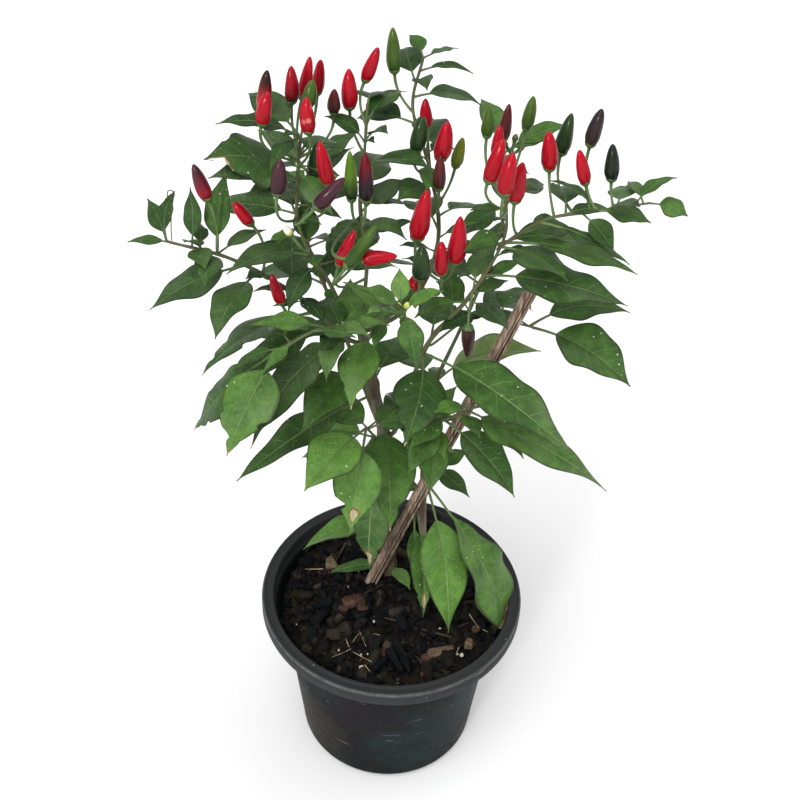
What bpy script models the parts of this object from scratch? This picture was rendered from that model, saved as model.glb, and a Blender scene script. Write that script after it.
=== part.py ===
# A potted chilli pepper plant: a black nursery pot of potting mix with a woody, branching
# plant in it, leaves and upright peppers on every branch, and two wooden stakes.
# The origin is at the middle of the pot's underside, +Z is up and the front is -Y.

import math

import bmesh
import bpy
from mathutils import Matrix, Vector

MM = 0.001
GAP = 0.3  # mm left between two pieces that touch

# Pot, in mm: a squat tapered body, a flared collar and a flat rolled rim.
POT_HEIGHT = 150
POT_RIM_RADIUS = 100
POT_MOUTH_RADIUS = 91
POT_SHOULDER_RADIUS = 82
POT_SHOULDER_HEIGHT = 124
POT_BASE_RADIUS = 70
POT_BASE_ROUND = 8
POT_WALL = 2
POT_RIM_DROP = 12
POT_SEGMENTS = 40
DRAIN_HOLES = 6
DRAIN_HOLE_RADIUS = 4.5
DRAIN_HOLE_CIRCLE = 46
DRAIN_HOLE_SIDES = 12

# Potting mix, in mm: its height at the edge, the low ring it rises to and its dished middle.
SOIL_HEIGHT = 132
SOIL_RISE = 0.9
SOIL_DIP = 1.5
POCKET_MARGIN = GAP + 0.2  # room around what is pushed into the mix

# Stakes, in mm: the point where each leaves the soil, its top, and its section.
STAKE_DEPTH = 55
STAKE_POINT_LENGTH = 14
STAKE_POINT_SHARE = 0.5
STAKE_SIDES = 8
STAKE_MAIN = {"foot": (-17, 20, 133), "top": (81, 8, 431), "wide": 9.6, "deep": 7}
STAKE_BACK = {"foot": (24, 60, 133), "top": (20, 58, 232), "wide": 5.5, "deep": 4.5}

# Plant, in mm.
STEM_SIDES = 6
LEAF_SIDES = 4
LEAF_HALF_THICKNESS = 0.5
LEAF_ARCH = 0.07  # rise of a leaf's middle above its chord, as a share of its length
PETIOLE_RADIUS = 0.9
PEDICEL_RADIUS = 0.9
PEDICEL_REACH = 14  # a pepper hangs on the stem place nearest to this far behind its base
PEDICEL_BEND = 0.6  # how far back its bend lies, as a share of its length
PEDICEL_SIDES = 5
PEDICEL_SHARES = (0.4, 0.75)  # the places of its two middle rings
CALYX_LENGTH = 3
CALYX_SHARE = 0.3  # the calyx's radius, as a share of the pepper's width
FRUIT_SIDES = 6
# (share of the length, share of the half width) along a leaf and along a pepper
LEAF_OUTLINE = ((0.22, 0.08), (0.45, 0.96), (0.75, 0.7))
FRUIT_OUTLINE = ((0.0, 0.66), (0.22, 1.0), (0.5, 0.93), (0.8, 0.64), (1.0, 0.2))

COLOURS = {
    "pot": ((0.028, 0.029, 0.032), 0.48),
    "soil": ((0.022, 0.017, 0.013), 0.95),
    "stake": ((0.205, 0.145, 0.105), 0.85),
    "stem": ((0.095, 0.105, 0.045), 0.7),
    "foliage": ((0.045, 0.115, 0.032), 0.5),
    "red": ((0.58, 0.002, 0.012), 0.22),
    "maroon": ((0.14, 0.012, 0.014), 0.28),
    "purple": ((0.07, 0.02, 0.026), 0.3),
    "green": ((0.07, 0.14, 0.02), 0.3),
    "dark_green": ((0.018, 0.045, 0.012), 0.3),
}

# Each shoot: the thickness at its two ends, its route, and its leaves. A leaf row is
# (place along the shoot from 0 to 1, heading, rise, length, width), with the heading
# counted from +X towards +Y. A branch may carry side shoots.
TRUNK = {
    "thick": (10, 7),
    "route": (
        (0, 30, 82),
        (-2, 31, 135),
        (-5, 32, 215),
        (-10, 28, 280),
        (-20, 20, 340),
        (-27, 15, 384),
    ),
    "leaves": (
        (0.74, -82, -23, 89, 41),
        (0.36, -163, -12, 70, 25),
        (0.2, -168, -2, 50, 12),
        (0.2, -58, 7, 32, 15),
        (0.46, 105, -25, 84, 32),
        (0.57, 155, -18, 80, 32),
        (0.66, 80, -12, 76, 30),
        (0.84, 72, 0, 62, 28),
    ),
}
LOW_LEFT = {
    "thick": (3, 2),
    "route": ((-9, 28, 272), (-16, -5, 310), (-21, -35, 344)),
    "leaves": (
        (1, -130, -12, 59, 40),
        (1, -100, -50, 68, 34),
        (0.3, -107, -78, 118, 30),
        (0.6, 150, 15, 50, 24),
    ),
}
LOW_RIGHT = {
    "thick": (4, 2),
    "route": ((-3, 31, 165), (10, 28, 195), (22, 25, 225), (26, 22, 262)),
    "leaves": (
        (0.75, -72, -48, 110, 38),
        (0.78, -30, -52, 122, 54),
        (0.5, -82, -47, 81, 23),
        (0.45, -78, -64, 52, 14),
    ),
}
BRANCHES = {
    "main_stem": (TRUNK, LOW_LEFT, LOW_RIGHT),
    "branch_left": (
        {
            "thick": (4.5, 2),
            "route": ((-34, 15, 376), (-65, 5, 415), (-105, 0, 445), (-145, -5, 460)),
            "leaves": (
                (0.3, -140, -3, 89, 36),
                (0.2, -150, -22, 76, 26),
                (0.62, -110, -8, 60, 28),
                (0.68, -155, -12, 64, 29),
                (0.85, -115, 45, 26, 14),
                (0.9, -65, 5, 30, 16),
                (0.98, -165, 12, 26, 10),
                (1, 130, 50, 28, 13),
                (0.9, 95, 60, 36, 12),
                (0.8, 80, 60, 50, 20),
                (1, 85, 45, 32, 12),
                (0.45, 95, 5, 62, 28),
                (0.15, 100, -10, 58, 26),
            ),
        },
    ),
    "branch_upper_left": (
        {
            "thick": (4, 2),
            "route": ((-34, 12, 390), (-46, 5, 425), (-65, 5, 465), (-67, 15, 495), (-65, 20, 520)),
            "leaves": (
                (0.5, -145, 10, 58, 26),
                (0.5, -78, 18, 26, 15),
                (0.52, 105, 50, 32, 18),
                (0.45, -120, -25, 36, 16),
                (0.82, -154, 29, 61, 46),
                (0.76, -145, 30, 63, 26),
                (0.78, -133, 23, 40, 26),
                (1, -120, -11, 32, 14),
                (1, 131, 8, 56, 22),
                (1, -168, 17, 50, 14),
                (0.92, 60, -10, 42, 22),
                (0.66, 120, 0, 62, 28),
            ),
        },
    ),
    "branch_top": (
        {
            "thick": (4, 2),
            "route": ((-27, 18, 392), (-25, 25, 435), (-30, 30, 470), (-28, 35, 505), (-27, 40, 533)),
            "leaves": (
                (0.75, -29, 16, 48, 24),
                (0.55, 25, 32, 36, 18),
                (0.5, -45, 15, 40, 18),
                (1, 92, -15, 36, 18),
                (0.6, 80, 0, 68, 28),
                (0.35, 110, -8, 64, 28),
                (0.92, 60, 10, 45, 20),
            ),
        },
    ),
    "branch_upper_right": (
        {
            "thick": (4, 1.8),
            "route": (
                (-19, 17, 386),
                (0, 25, 395),
                (15, 35, 418),
                (20, 40, 450),
                (12, 45, 490),
                (0, 55, 525),
                (5, 60, 555),
            ),
            "leaves": (
                (0.88, 5, -6, 44, 22),
                (1, 125, 30, 18, 12),
                (1, 30, 5, 24, 12),
                (0.96, 0, 5, 32, 10),
                (0.8, 150, -10, 44, 24),
                (0.6, -130, 10, 34, 22),
                (0.5, 40, -12, 44, 22),
                (0.38, -15, 12, 38, 20),
                (0.3, -140, 32, 46, 18),
                (0.7, 85, 0, 60, 26),
                (0.45, 110, -10, 62, 28),
                (0.92, 100, 8, 42, 20),
            ),
        },
    ),
    "branch_right": (
        {
            "thick": (5, 2),
            "route": ((-3, 24, 290), (15, 5, 380), (40, 0, 425), (58, 0, 468), (57, 5, 498)),
            "leaves": (
                (0.76, -15, -1, 89, 41),
                (0.44, -98, -17, 72, 33),
                (0.67, -40, -5, 34, 20),
                (0.66, -160, -6, 34, 22),
                (0.7, 65, 32, 38, 18),
                (0.72, 20, 28, 34, 12),
                (0.6, 95, 14, 42, 18),
                (0.9, -150, -12, 30, 18),
                (0.96, -170, 0, 22, 14),
                (0.98, -45, 38, 28, 12),
                (0.44, -38, -8, 122, 40),
                (0.5, 80, -5, 62, 26),
            ),
        },
        {
            "thick": (2.4, 1.6),
            "route": ((19, 5, 383), (48, 12, 406), (66, 18, 396), (85, 20, 390)),
            "leaves": ((0.97, 4, 15, 66, 29), (1, -33, -11, 75, 41), (0.7, 60, -5, 48, 22)),
        },
        {
            "thick": (2.6, 1.6),
            "route": ((56, 0, 463), (80, -5, 486), (107, 0, 490), (143, 5, 495)),
            "leaves": (
                (0.05, -39, -1, 50, 39),
                (0.35, -20, -12, 58, 14),
                (0.1, -5, -9, 82, 23),
                (0.2, 22, -8, 40, 24),
                (0.6, -40, -30, 30, 18),
                (1, -18, -9, 23, 21),
                (0.9, 30, 26, 32, 13),
                (0.66, -10, -3, 35, 20),
                (0.5, 90, -8, 48, 22),
                (0.8, 75, -5, 40, 18),
            ),
        },
    ),
    "branch_low_right": (
        {
            "thick": (4, 2),
            "route": ((-4, 22, 262), (17, -2, 318), (37, -20, 345), (50, -35, 367)),
            "leaves": (
                (0.8, -25, -6, 108, 28),
                (0.9, -38, -12, 48, 24),
                (0.7, -36, -26, 70, 31),
                (0.6, -88, -37, 47, 24),
                (0.86, -68, 5, 28, 14),
                (0.3, 35, 40, 46, 22),
            ),
        },
    ),
    "branch_front": (
        {
            "thick": (3, 1.8),
            "route": ((-23, 7, 386), (-11, -20, 420), (0, -50, 450)),
            "leaves": (
                (0.3, -104, -19, 58, 28),
                (0.99, -174, 33, 29, 17),
                (0.96, -137, 19, 29, 15),
                (0.98, -75, -25, 38, 16),
                (0.94, 0, 32, 28, 14),
                (0.92, 95, 40, 26, 12),
            ),
        },
    ),
    "branch_front_left": (
        {
            "thick": (3.5, 2),
            "route": ((-20, 13, 330), (-33, -20, 398), (-46, -45, 430), (-72, -60, 424)),
            "leaves": (
                (1, -174, -48, 83, 34),
                (0.66, -96, 9, 55, 17),
                (1, -117, -34, 70, 36),
                (0.62, -125, -18, 93, 29),
                (0.1, -140, -10, 110, 26),
                (0.35, -120, -3, 65, 32),
                (0.62, -150, -25, 46, 24),
            ),
        },
    ),
    "branch_back_left": (
        {
            "thick": (4.5, 2),
            "route": ((-18, 32, 300), (-45, 65, 355), (-70, 90, 410), (-68, 98, 462)),
            "leaves": (
                (0.35, 170, -10, 74, 30),
                (0.35, 60, -10, 72, 30),
                (0.55, 140, -20, 80, 32),
                (0.62, 15, -5, 60, 26),
                (0.8, 170, 0, 70, 28),
                (0.85, 75, -10, 66, 28),
                (0.99, 30, 25, 42, 18),
                (0.96, 140, 20, 50, 22),
                (0.93, -120, 25, 34, 16),
            ),
        },
    ),
    "branch_back_right": (
        {
            "thick": (4.5, 2),
            "route": ((-2, 34, 250), (30, 65, 320), (56, 88, 385), (66, 92, 440), (61, 87, 481)),
            "leaves": (
                (0.3, -11, 32, 85, 34),
                (0.3, 110, -15, 78, 32),
                (0.5, 45, -20, 82, 32),
                (0.6, 130, -8, 62, 26),
                (0.72, 0, 5, 62, 26),
                (0.8, 80, -5, 70, 28),
                (1, 20, 20, 46, 18),
                (1, 110, 22, 48, 20),
                (0.95, -95, 28, 32, 14),
            ),
        },
    ),
}

# Peppers of each branch: (base of the pepper, heading, rise, length, width, ripeness).
PEPPERS = {
    "branch_left": (
        ((-119, 0, 488), 180, 72, 23, 9, "maroon"),
        ((-95, 5, 469), 180, 54, 17, 8, "red"),
        ((-77, -4, 418), 180, 73, 21, 8, "red"),
    ),
    "branch_upper_left": (
        ((-88, 32, 530), 0, 84, 26, 9, "maroon"),
        ((-72, 40, 533), 0, 87, 22, 9, "red"),
        ((-67, 54, 529), 0, 76, 27, 8, "red"),
        ((-62, 30, 535), 0, 77, 17, 9, "green"),
        ((-59, 8, 530), 180, 83, 21, 9, "red"),
        ((-47, 40, 527), 0, 90, 15, 8, "maroon"),
        ((-47, -3, 503), 180, 77, 27, 9, "red"),
        ((-56, 16, 496), 0, 89, 24, 10, "dark_green"),
        ((-75, -20, 505), 0, 82, 22, 9, "purple"),
        ((-86, 8, 534), 0, 78, 20, 9, "red"),
        ((-59, 68, 526), 0, 85, 22, 8, "red"),
        ((-52, -26, 501), 0, 50, 24, 9, "purple"),
    ),
    "branch_top": (
        ((-38, 48, 527), 180, 88, 24, 10, "red"),
        ((-29, 52, 543), 0, 69, 22, 8, "red"),
        ((-34, 6, 488), 180, 88, 31, 8, "green"),
        ((-25, -8, 496), 0, 89, 30, 9, "maroon"),
        ((-40, -12, 453), 0, 72, 26, 8, "red"),
        ((-34, -34, 467), 0, 57, 32, 8, "green"),
        ((-26, -30, 470), 0, 7, 21, 9, "red"),
    ),
    "branch_upper_right": (
        ((-12, 62, 545), 180, 85, 27, 9, "green"),
        ((3, 32, 509), 0, 80, 22, 10, "dark_green"),
        ((18, 30, 505), 0, 81, 25, 11, "red"),
        ((18, 22, 489), 180, 90, 23, 8, "maroon"),
        ((28, 44, 493), 0, 81, 19, 8, "green"),
        ((6, 8, 462), 0, 83, 34, 12, "red"),
        ((30, 8, 446), 0, 84, 33, 12, "red"),
        ((22, 0, 442), 180, 85, 23, 9, "red"),
        ((9, -12, 446), 0, 87, 23, 11, "dark_green"),
        ((9, 56, 512), 180, 82, 19, 8, "red"),
    ),
    "branch_right": (
        ((46, 50, 511), 0, 88, 20, 8, "green"),
        ((57, 58, 505), 0, 88, 24, 8, "maroon"),
        ((46, 0, 508), 0, 75, 27, 10, "red"),
        ((53, -28, 516), 0, 86, 25, 10, "red"),
        ((61, -13, 503), 0, 88, 25, 10, "red"),
        ((69, 44, 520), 0, 83, 21, 8, "green"),
        ((82, 14, 510), 180, 85, 24, 10, "red"),
        ((91, 38, 508), 0, 84, 26, 10, "dark_green"),
        ((103, 6, 506), 180, 72, 22, 8, "red"),
        ((106, 27, 520), 0, 83, 23, 9, "purple"),
        ((119, 12, 506), 180, 85, 22, 9, "dark_green"),
        ((41, -6, 407), 0, -87, 25, 9, "purple"),
        ((51, 26, 510), 0, 88, 21, 8, "red"),
    ),
}


def clear_scene():
    for obj in list(bpy.data.objects):
        bpy.data.objects.remove(obj, do_unlink=True)


def material(name):
    """A plain plastic-like material of the named colour, made once."""
    if name in bpy.data.materials:
        return bpy.data.materials[name]
    colour, roughness = COLOURS[name]
    made = bpy.data.materials.new(name)
    made.use_nodes = True
    shader = made.node_tree.nodes["Principled BSDF"]
    shader.inputs["Base Color"].default_value = (*colour, 1)
    shader.inputs["Roughness"].default_value = roughness
    made.diffuse_color = (*colour, 1)
    return made


def add_object(name, bm, colour):
    """Turns the bmesh, whose faces are made to look outwards, into a smooth-shaded object."""
    bmesh.ops.recalc_face_normals(bm, faces=bm.faces)
    mesh = bpy.data.meshes.new(name)
    bm.to_mesh(mesh)
    bm.free()
    mesh.shade_smooth()
    mesh.set_sharp_from_angle(angle=math.radians(40))
    obj = bpy.data.objects.new(name, mesh)
    obj.data.materials.append(material(colour))
    bpy.context.scene.collection.objects.link(obj)
    return obj


def hide_helper(obj):
    obj.hide_render = True
    obj.display_type = "WIRE"


def boolean(obj, operation, helpers, name):
    """Adds one exact Boolean that takes a group of hidden helper solids."""
    group = bpy.data.collections.new(name)
    for helper in helpers:
        hide_helper(helper)
        group.objects.link(helper)
    cut = obj.modifiers.new(name, "BOOLEAN")
    cut.operation = operation
    cut.solver = "EXACT"
    cut.operand_type = "COLLECTION"
    cut.collection = group


def direction(heading, rise):
    """The unit vector of a heading and a rise, in degrees."""
    turn = math.radians(heading)
    tilt = math.radians(rise)
    return Vector((math.cos(turn) * math.cos(tilt), math.sin(turn) * math.cos(tilt), math.sin(tilt)))


def section(point, along, side, half_width, half_depth):
    """The matrix that lays a unit circle across a route at a point, in mm, as an ellipse."""
    along = along.normalized()
    across = (side - along * side.dot(along)).normalized()
    up = along.cross(across)
    turn = Matrix((across, up, along)).transposed().to_4x4()
    size = Matrix.Diagonal((half_width, half_depth, 1, 1))
    return Matrix.Scale(MM, 4) @ Matrix.Translation(point) @ turn @ size


def loft(sections, sides):
    """A closed skin through the sections, made by extruding one ring of edges again and again."""
    bm = bmesh.new()
    ring = bmesh.ops.create_circle(bm, segments=sides, radius=1, cap_ends=True)["verts"]
    bmesh.ops.transform(bm, matrix=sections[0], verts=ring)
    edges = list(bm.edges)
    for before, after in zip(sections, sections[1:]):
        grown = bmesh.ops.extrude_edge_only(bm, edges=edges)["geom"]
        verts = [item for item in grown if isinstance(item, bmesh.types.BMVert)]
        edges = [item for item in grown if isinstance(item, bmesh.types.BMEdge)]
        edges = [edge for edge in edges if edge.verts[0] in verts and edge.verts[1] in verts]
        bmesh.ops.transform(bm, matrix=after @ before.inverted(), verts=verts)
    bmesh.ops.holes_fill(bm, edges=edges, sides=sides)
    return bm


def place_along(route, share):
    """The point at this share of a route's length."""
    spans = [(b - a).length for a, b in zip(route, route[1:])]
    left = share * sum(spans)
    for start, end, span in zip(route, route[1:], spans):
        if left <= span:
            return start.lerp(end, left / span)
        left -= span
    return route[-1].copy()


def nearest_place(routes, point):
    """The place on any of the routes that is nearest to the point, leaving out their first ends."""
    places = [place_along(route, step / 40) for route in routes for step in range(2, 41)]
    return min(places, key=lambda place: (place - point).length)


def tube(name, points, radii, sides, colour):
    """A tapered tube through the points, with mitred bends and no twist."""
    points = [Vector(point) for point in points]
    last = len(points) - 1
    ways = [points[min(index + 1, last)] - points[max(index - 1, 0)] for index in range(last + 1)]
    side = ways[0].orthogonal()
    sections = []
    for index, (point, radius) in enumerate(zip(points, radii)):
        side.rotate(ways[max(index - 1, 0)].rotation_difference(ways[index]))
        sections.append(section(point, ways[index], side, radius, radius))
    return add_object(name, loft(sections, sides), colour)


def stem(name, shoot):
    thick, thin = shoot["thick"]
    count = len(shoot["route"])
    radii = [(thick + (thin - thick) * index / (count - 1)) / 2 for index in range(count)]
    return tube(name, shoot["route"], radii, STEM_SIDES, "stem")


def leaf(name, start, heading, rise, length, width):
    """One leaf on its stalk: it leaves the shoot at start, arches over and narrows to its tip."""
    chord = direction(heading, rise)
    side = direction(heading + 90, 0)
    up = chord.cross(side)

    def centre(share):
        return start + chord * (length * share) + up * (4 * LEAF_ARCH * length * share * (1 - share))

    outline = [(0, PETIOLE_RADIUS, PETIOLE_RADIUS)]
    for share, widths in LEAF_OUTLINE:
        outline.append((share, max(widths * width / 2, PETIOLE_RADIUS), LEAF_HALF_THICKNESS))
    outline.append((1, LEAF_HALF_THICKNESS, LEAF_HALF_THICKNESS / 2))
    sections = []
    for share, half_width, half_depth in outline:
        along = centre(share + 0.02) - centre(share - 0.02)
        sections.append(section(centre(share), along, side, half_width, half_depth))
    return add_object(name, loft(sections, LEAF_SIDES), "foliage")


def pepper(name, base, heading, rise, length, width, colour):
    axis = direction(heading, rise)
    side = Vector((0, 1, 0.01))
    sections = []
    for share, widths in FRUIT_OUTLINE:
        centre = Vector(base) + axis * (length * share)
        radius = widths * width / 2
        sections.append(section(centre, axis, side, radius, radius))
    return add_object(name, loft(sections, FRUIT_SIDES), colour)


def pedicel(name, start, base, heading, rise, width):
    """The stalk from the shoot to a pepper, ending in the green calyx just under the pepper."""
    axis = direction(heading, rise)
    top = Vector(base) - axis * GAP
    foot = top - axis * CALYX_LENGTH
    bend = foot - axis * (foot - start).length * PEDICEL_BEND
    points = [start]
    for share in PEDICEL_SHARES:
        points.append(start.lerp(bend, share).lerp(bend.lerp(foot, share), share))
    radii = (PEDICEL_RADIUS,) * 3 + (PEDICEL_RADIUS * 1.2, width * CALYX_SHARE)
    return tube(name, (*points, foot, top), radii, PEDICEL_SIDES, "stem")


def spin_profile(profile, segments):
    """A turned solid from (radius, height) points in mm that start and end on the axis."""
    bm = bmesh.new()
    verts = [bm.verts.new((radius * MM, 0, height * MM)) for radius, height in profile]
    edges = [bm.edges.new(pair) for pair in zip(verts, verts[1:])]
    bmesh.ops.spin(
        bm,
        geom=verts + edges,
        cent=(0, 0, 0),
        axis=(0, 0, 1),
        angle=2 * math.pi,
        steps=segments,
        use_merge=True,
    )
    bmesh.ops.remove_doubles(bm, verts=bm.verts, dist=0.00002)
    return bm


def rounded_base(inset):
    """The corner between the underside and the wall, kept this far inside the outer face."""
    points = []
    for step in range(4):
        turn = math.radians(30 * step)
        radius = POT_BASE_RADIUS - POT_BASE_ROUND + (POT_BASE_ROUND - inset) * math.sin(turn)
        points.append((radius, POT_BASE_ROUND - (POT_BASE_ROUND - inset) * math.cos(turn)))
    return points


def make_pot():
    collar = POT_HEIGHT - POT_RIM_DROP
    outside = [
        (0, 0),
        *rounded_base(0),
        (POT_SHOULDER_RADIUS, POT_SHOULDER_HEIGHT),
        (POT_MOUTH_RADIUS + POT_WALL, collar + 1),
        (POT_MOUTH_RADIUS + POT_WALL, POT_HEIGHT - POT_WALL - 1),
        (POT_RIM_RADIUS - POT_WALL, POT_HEIGHT - POT_WALL - 1),
        (POT_RIM_RADIUS - POT_WALL, collar),
        (POT_RIM_RADIUS, collar),
        (POT_RIM_RADIUS, POT_HEIGHT - 2),
        (POT_RIM_RADIUS - 2, POT_HEIGHT),
        (POT_MOUTH_RADIUS, POT_HEIGHT),
    ]
    inside = [
        (POT_MOUTH_RADIUS, collar + 2),
        (POT_SHOULDER_RADIUS - POT_WALL, POT_SHOULDER_HEIGHT + 1),
        *reversed(rounded_base(POT_WALL)),
        (0, POT_WALL),
    ]
    pot = add_object("pot", spin_profile(outside + inside, POT_SEGMENTS), "pot")
    holes = []
    for index in range(DRAIN_HOLES):
        turn = 2 * math.pi * (index + 0.5) / DRAIN_HOLES
        centre = Vector((math.cos(turn), math.sin(turn), 0)) * DRAIN_HOLE_CIRCLE
        ends = (centre - Vector((0, 0, 3)), centre + Vector((0, 0, POT_WALL + 3)))
        radii = (DRAIN_HOLE_RADIUS,) * 2
        holes.append(tube(f"drain_hole_{index + 1}", ends, radii, DRAIN_HOLE_SIDES, "pot"))
    boolean(pot, "DIFFERENCE", holes, "drain_holes")


def make_stake(name, stake, grow=0):
    """A split wooden stake, pushed into the soil. Grown by a margin, it is its own pocket."""
    foot = Vector(stake["foot"])
    top = Vector(stake["top"])
    along = (top - foot).normalized()
    half_width = stake["wide"] / 2 + grow
    half_depth = stake["deep"] / 2 + grow
    low = foot - along * (STAKE_DEPTH + grow)
    side = Vector((1, 0.2, 0))
    point = 1 if grow else STAKE_POINT_SHARE
    neck = foot - along * (STAKE_DEPTH - STAKE_POINT_LENGTH)
    sections = [
        section(low, along, side, half_width * point, half_depth * point),
        section(neck, along, side, half_width, half_depth),
        section(top, along, side, half_width, half_depth),
    ]
    return add_object(name, loft(sections, STAKE_SIDES), "stake")


def make_soil():
    shoulder = POT_SHOULDER_RADIUS - POT_WALL - GAP
    collar_rise = POT_HEIGHT - POT_RIM_DROP - POT_SHOULDER_HEIGHT + 1
    slope = (POT_MOUTH_RADIUS - POT_SHOULDER_RADIUS + POT_WALL) / collar_rise
    edge = shoulder + slope * (SOIL_HEIGHT - POT_SHOULDER_HEIGHT - 1) - 2 * GAP
    profile = [
        (0, POT_WALL + GAP),
        *rounded_base(POT_WALL + GAP),
        (shoulder - GAP, POT_SHOULDER_HEIGHT + 1),
        (edge, SOIL_HEIGHT),
        (edge * 0.7, SOIL_HEIGHT + SOIL_RISE),
        (edge * 0.35, SOIL_HEIGHT - SOIL_DIP),
        (0, SOIL_HEIGHT - SOIL_DIP),
    ]
    soil = add_object("potting_mix", spin_profile(profile, POT_SEGMENTS), "soil")
    foot = Vector(TRUNK["route"][0])
    neck = Vector(TRUNK["route"][1])
    along = (neck - foot).normalized()
    radius = TRUNK["thick"][0] / 2 + POCKET_MARGIN
    pockets = [
        tube("stem_pocket", (foot - along * GAP * 2, neck + along * 20), (radius, radius), 8, "soil"),
        make_stake("main_stake_pocket", STAKE_MAIN, POCKET_MARGIN),
        make_stake("back_stake_pocket", STAKE_BACK, POCKET_MARGIN),
    ]
    boolean(soil, "DIFFERENCE", pockets, "pockets")


def make_branch(name, shoots):
    """One branch with its side shoots, leaves and pepper stalks, joined into one solid."""
    body = stem(name, shoots[0])
    parts = []
    for number, shoot in enumerate(shoots):
        route = [Vector(point) for point in shoot["route"]]
        if number:
            parts.append(stem(f"{name}_shoot_{number}", shoot))
        for index, (share, heading, rise, length, width) in enumerate(shoot["leaves"]):
            start = place_along(route, share)
            parts.append(leaf(f"{name}_leaf_{number}_{index}", start, heading, rise, length, width))
    for index, (base, heading, rise, length, width, colour) in enumerate(PEPPERS.get(name, ())):
        routes = [[Vector(point) for point in shoot["route"]] for shoot in shoots]
        start = nearest_place(routes, Vector(base) - direction(heading, rise) * PEDICEL_REACH)
        parts.append(pedicel(f"{name}_stalk_{index}", start, base, heading, rise, width))
        fruit = f"{name.replace('branch', 'pepper')}_{index + 1}"
        pepper(fruit, base, heading, rise, length, width, colour)
    body.data.materials[0] = material("foliage")
    boolean(body, "UNION", parts, f"{name}_parts")


clear_scene()
make_pot()
make_soil()
make_stake("stake_main", STAKE_MAIN)
make_stake("stake_back", STAKE_BACK)
for branch_name, branch_shoots in BRANCHES.items():
    make_branch(branch_name, branch_shoots)
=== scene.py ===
# The looks of a potted chilli pepper plant: a black nursery pot of bark mix, a woody branching
# stem, leaves, upright peppers of every ripeness and two wooden stakes.
# The plant's dictionaries are in millimetres, and everything that is built is in metres.
import math
import random

import bmesh
import bpy
from mathutils import Matrix, Vector, noise


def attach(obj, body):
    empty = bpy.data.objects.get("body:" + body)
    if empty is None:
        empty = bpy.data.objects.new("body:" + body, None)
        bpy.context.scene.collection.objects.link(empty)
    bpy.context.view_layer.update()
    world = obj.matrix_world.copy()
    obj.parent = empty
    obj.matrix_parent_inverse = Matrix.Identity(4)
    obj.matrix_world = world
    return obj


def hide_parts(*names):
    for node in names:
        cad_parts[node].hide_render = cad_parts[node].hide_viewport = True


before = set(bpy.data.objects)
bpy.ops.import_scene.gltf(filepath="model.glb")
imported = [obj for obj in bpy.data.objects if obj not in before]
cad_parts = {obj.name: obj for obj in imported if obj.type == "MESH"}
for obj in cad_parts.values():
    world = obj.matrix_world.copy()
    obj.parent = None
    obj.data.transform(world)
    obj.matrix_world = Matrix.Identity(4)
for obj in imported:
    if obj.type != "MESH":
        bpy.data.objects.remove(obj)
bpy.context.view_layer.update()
mm = 0.001
anyTurn = (0, 6.3)  # radians, for parts turned at random


# Node wiring: arithmetic on a Wire adds Math nodes.
class Wire:
    def __init__(self, look, socket):
        self.look = look
        self.socket = socket

    def maths(self, operation, *others):
        values = dict(enumerate((self, *others)))
        return self.look.node("ShaderNodeMath", {"operation": operation}, values)

    def __add__(self, other):
        return self.maths("ADD", other)

    __radd__ = __add__

    def __mul__(self, other):
        return self.maths("MULTIPLY", other)

    __rmul__ = __mul__

    def __sub__(self, other):
        return self.maths("SUBTRACT", other)

    def __rsub__(self, other):
        return self.look.node("ShaderNodeMath", {"operation": "SUBTRACT"}, {0: other, 1: self})

    def __truediv__(self, other):
        return self.maths("DIVIDE", other)

    def __abs__(self):
        return self.maths("ABSOLUTE")

    def over(self, other):
        return self.maths("MAXIMUM", other)

    # 0 below low, 1 above high, with a soft step between them
    def step(self, low, high):
        values = {"Value": self, "From Min": low, "From Max": high}
        return self.look.node("ShaderNodeMapRange", {"interpolation_type": "SMOOTHSTEP"}, values)


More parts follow.
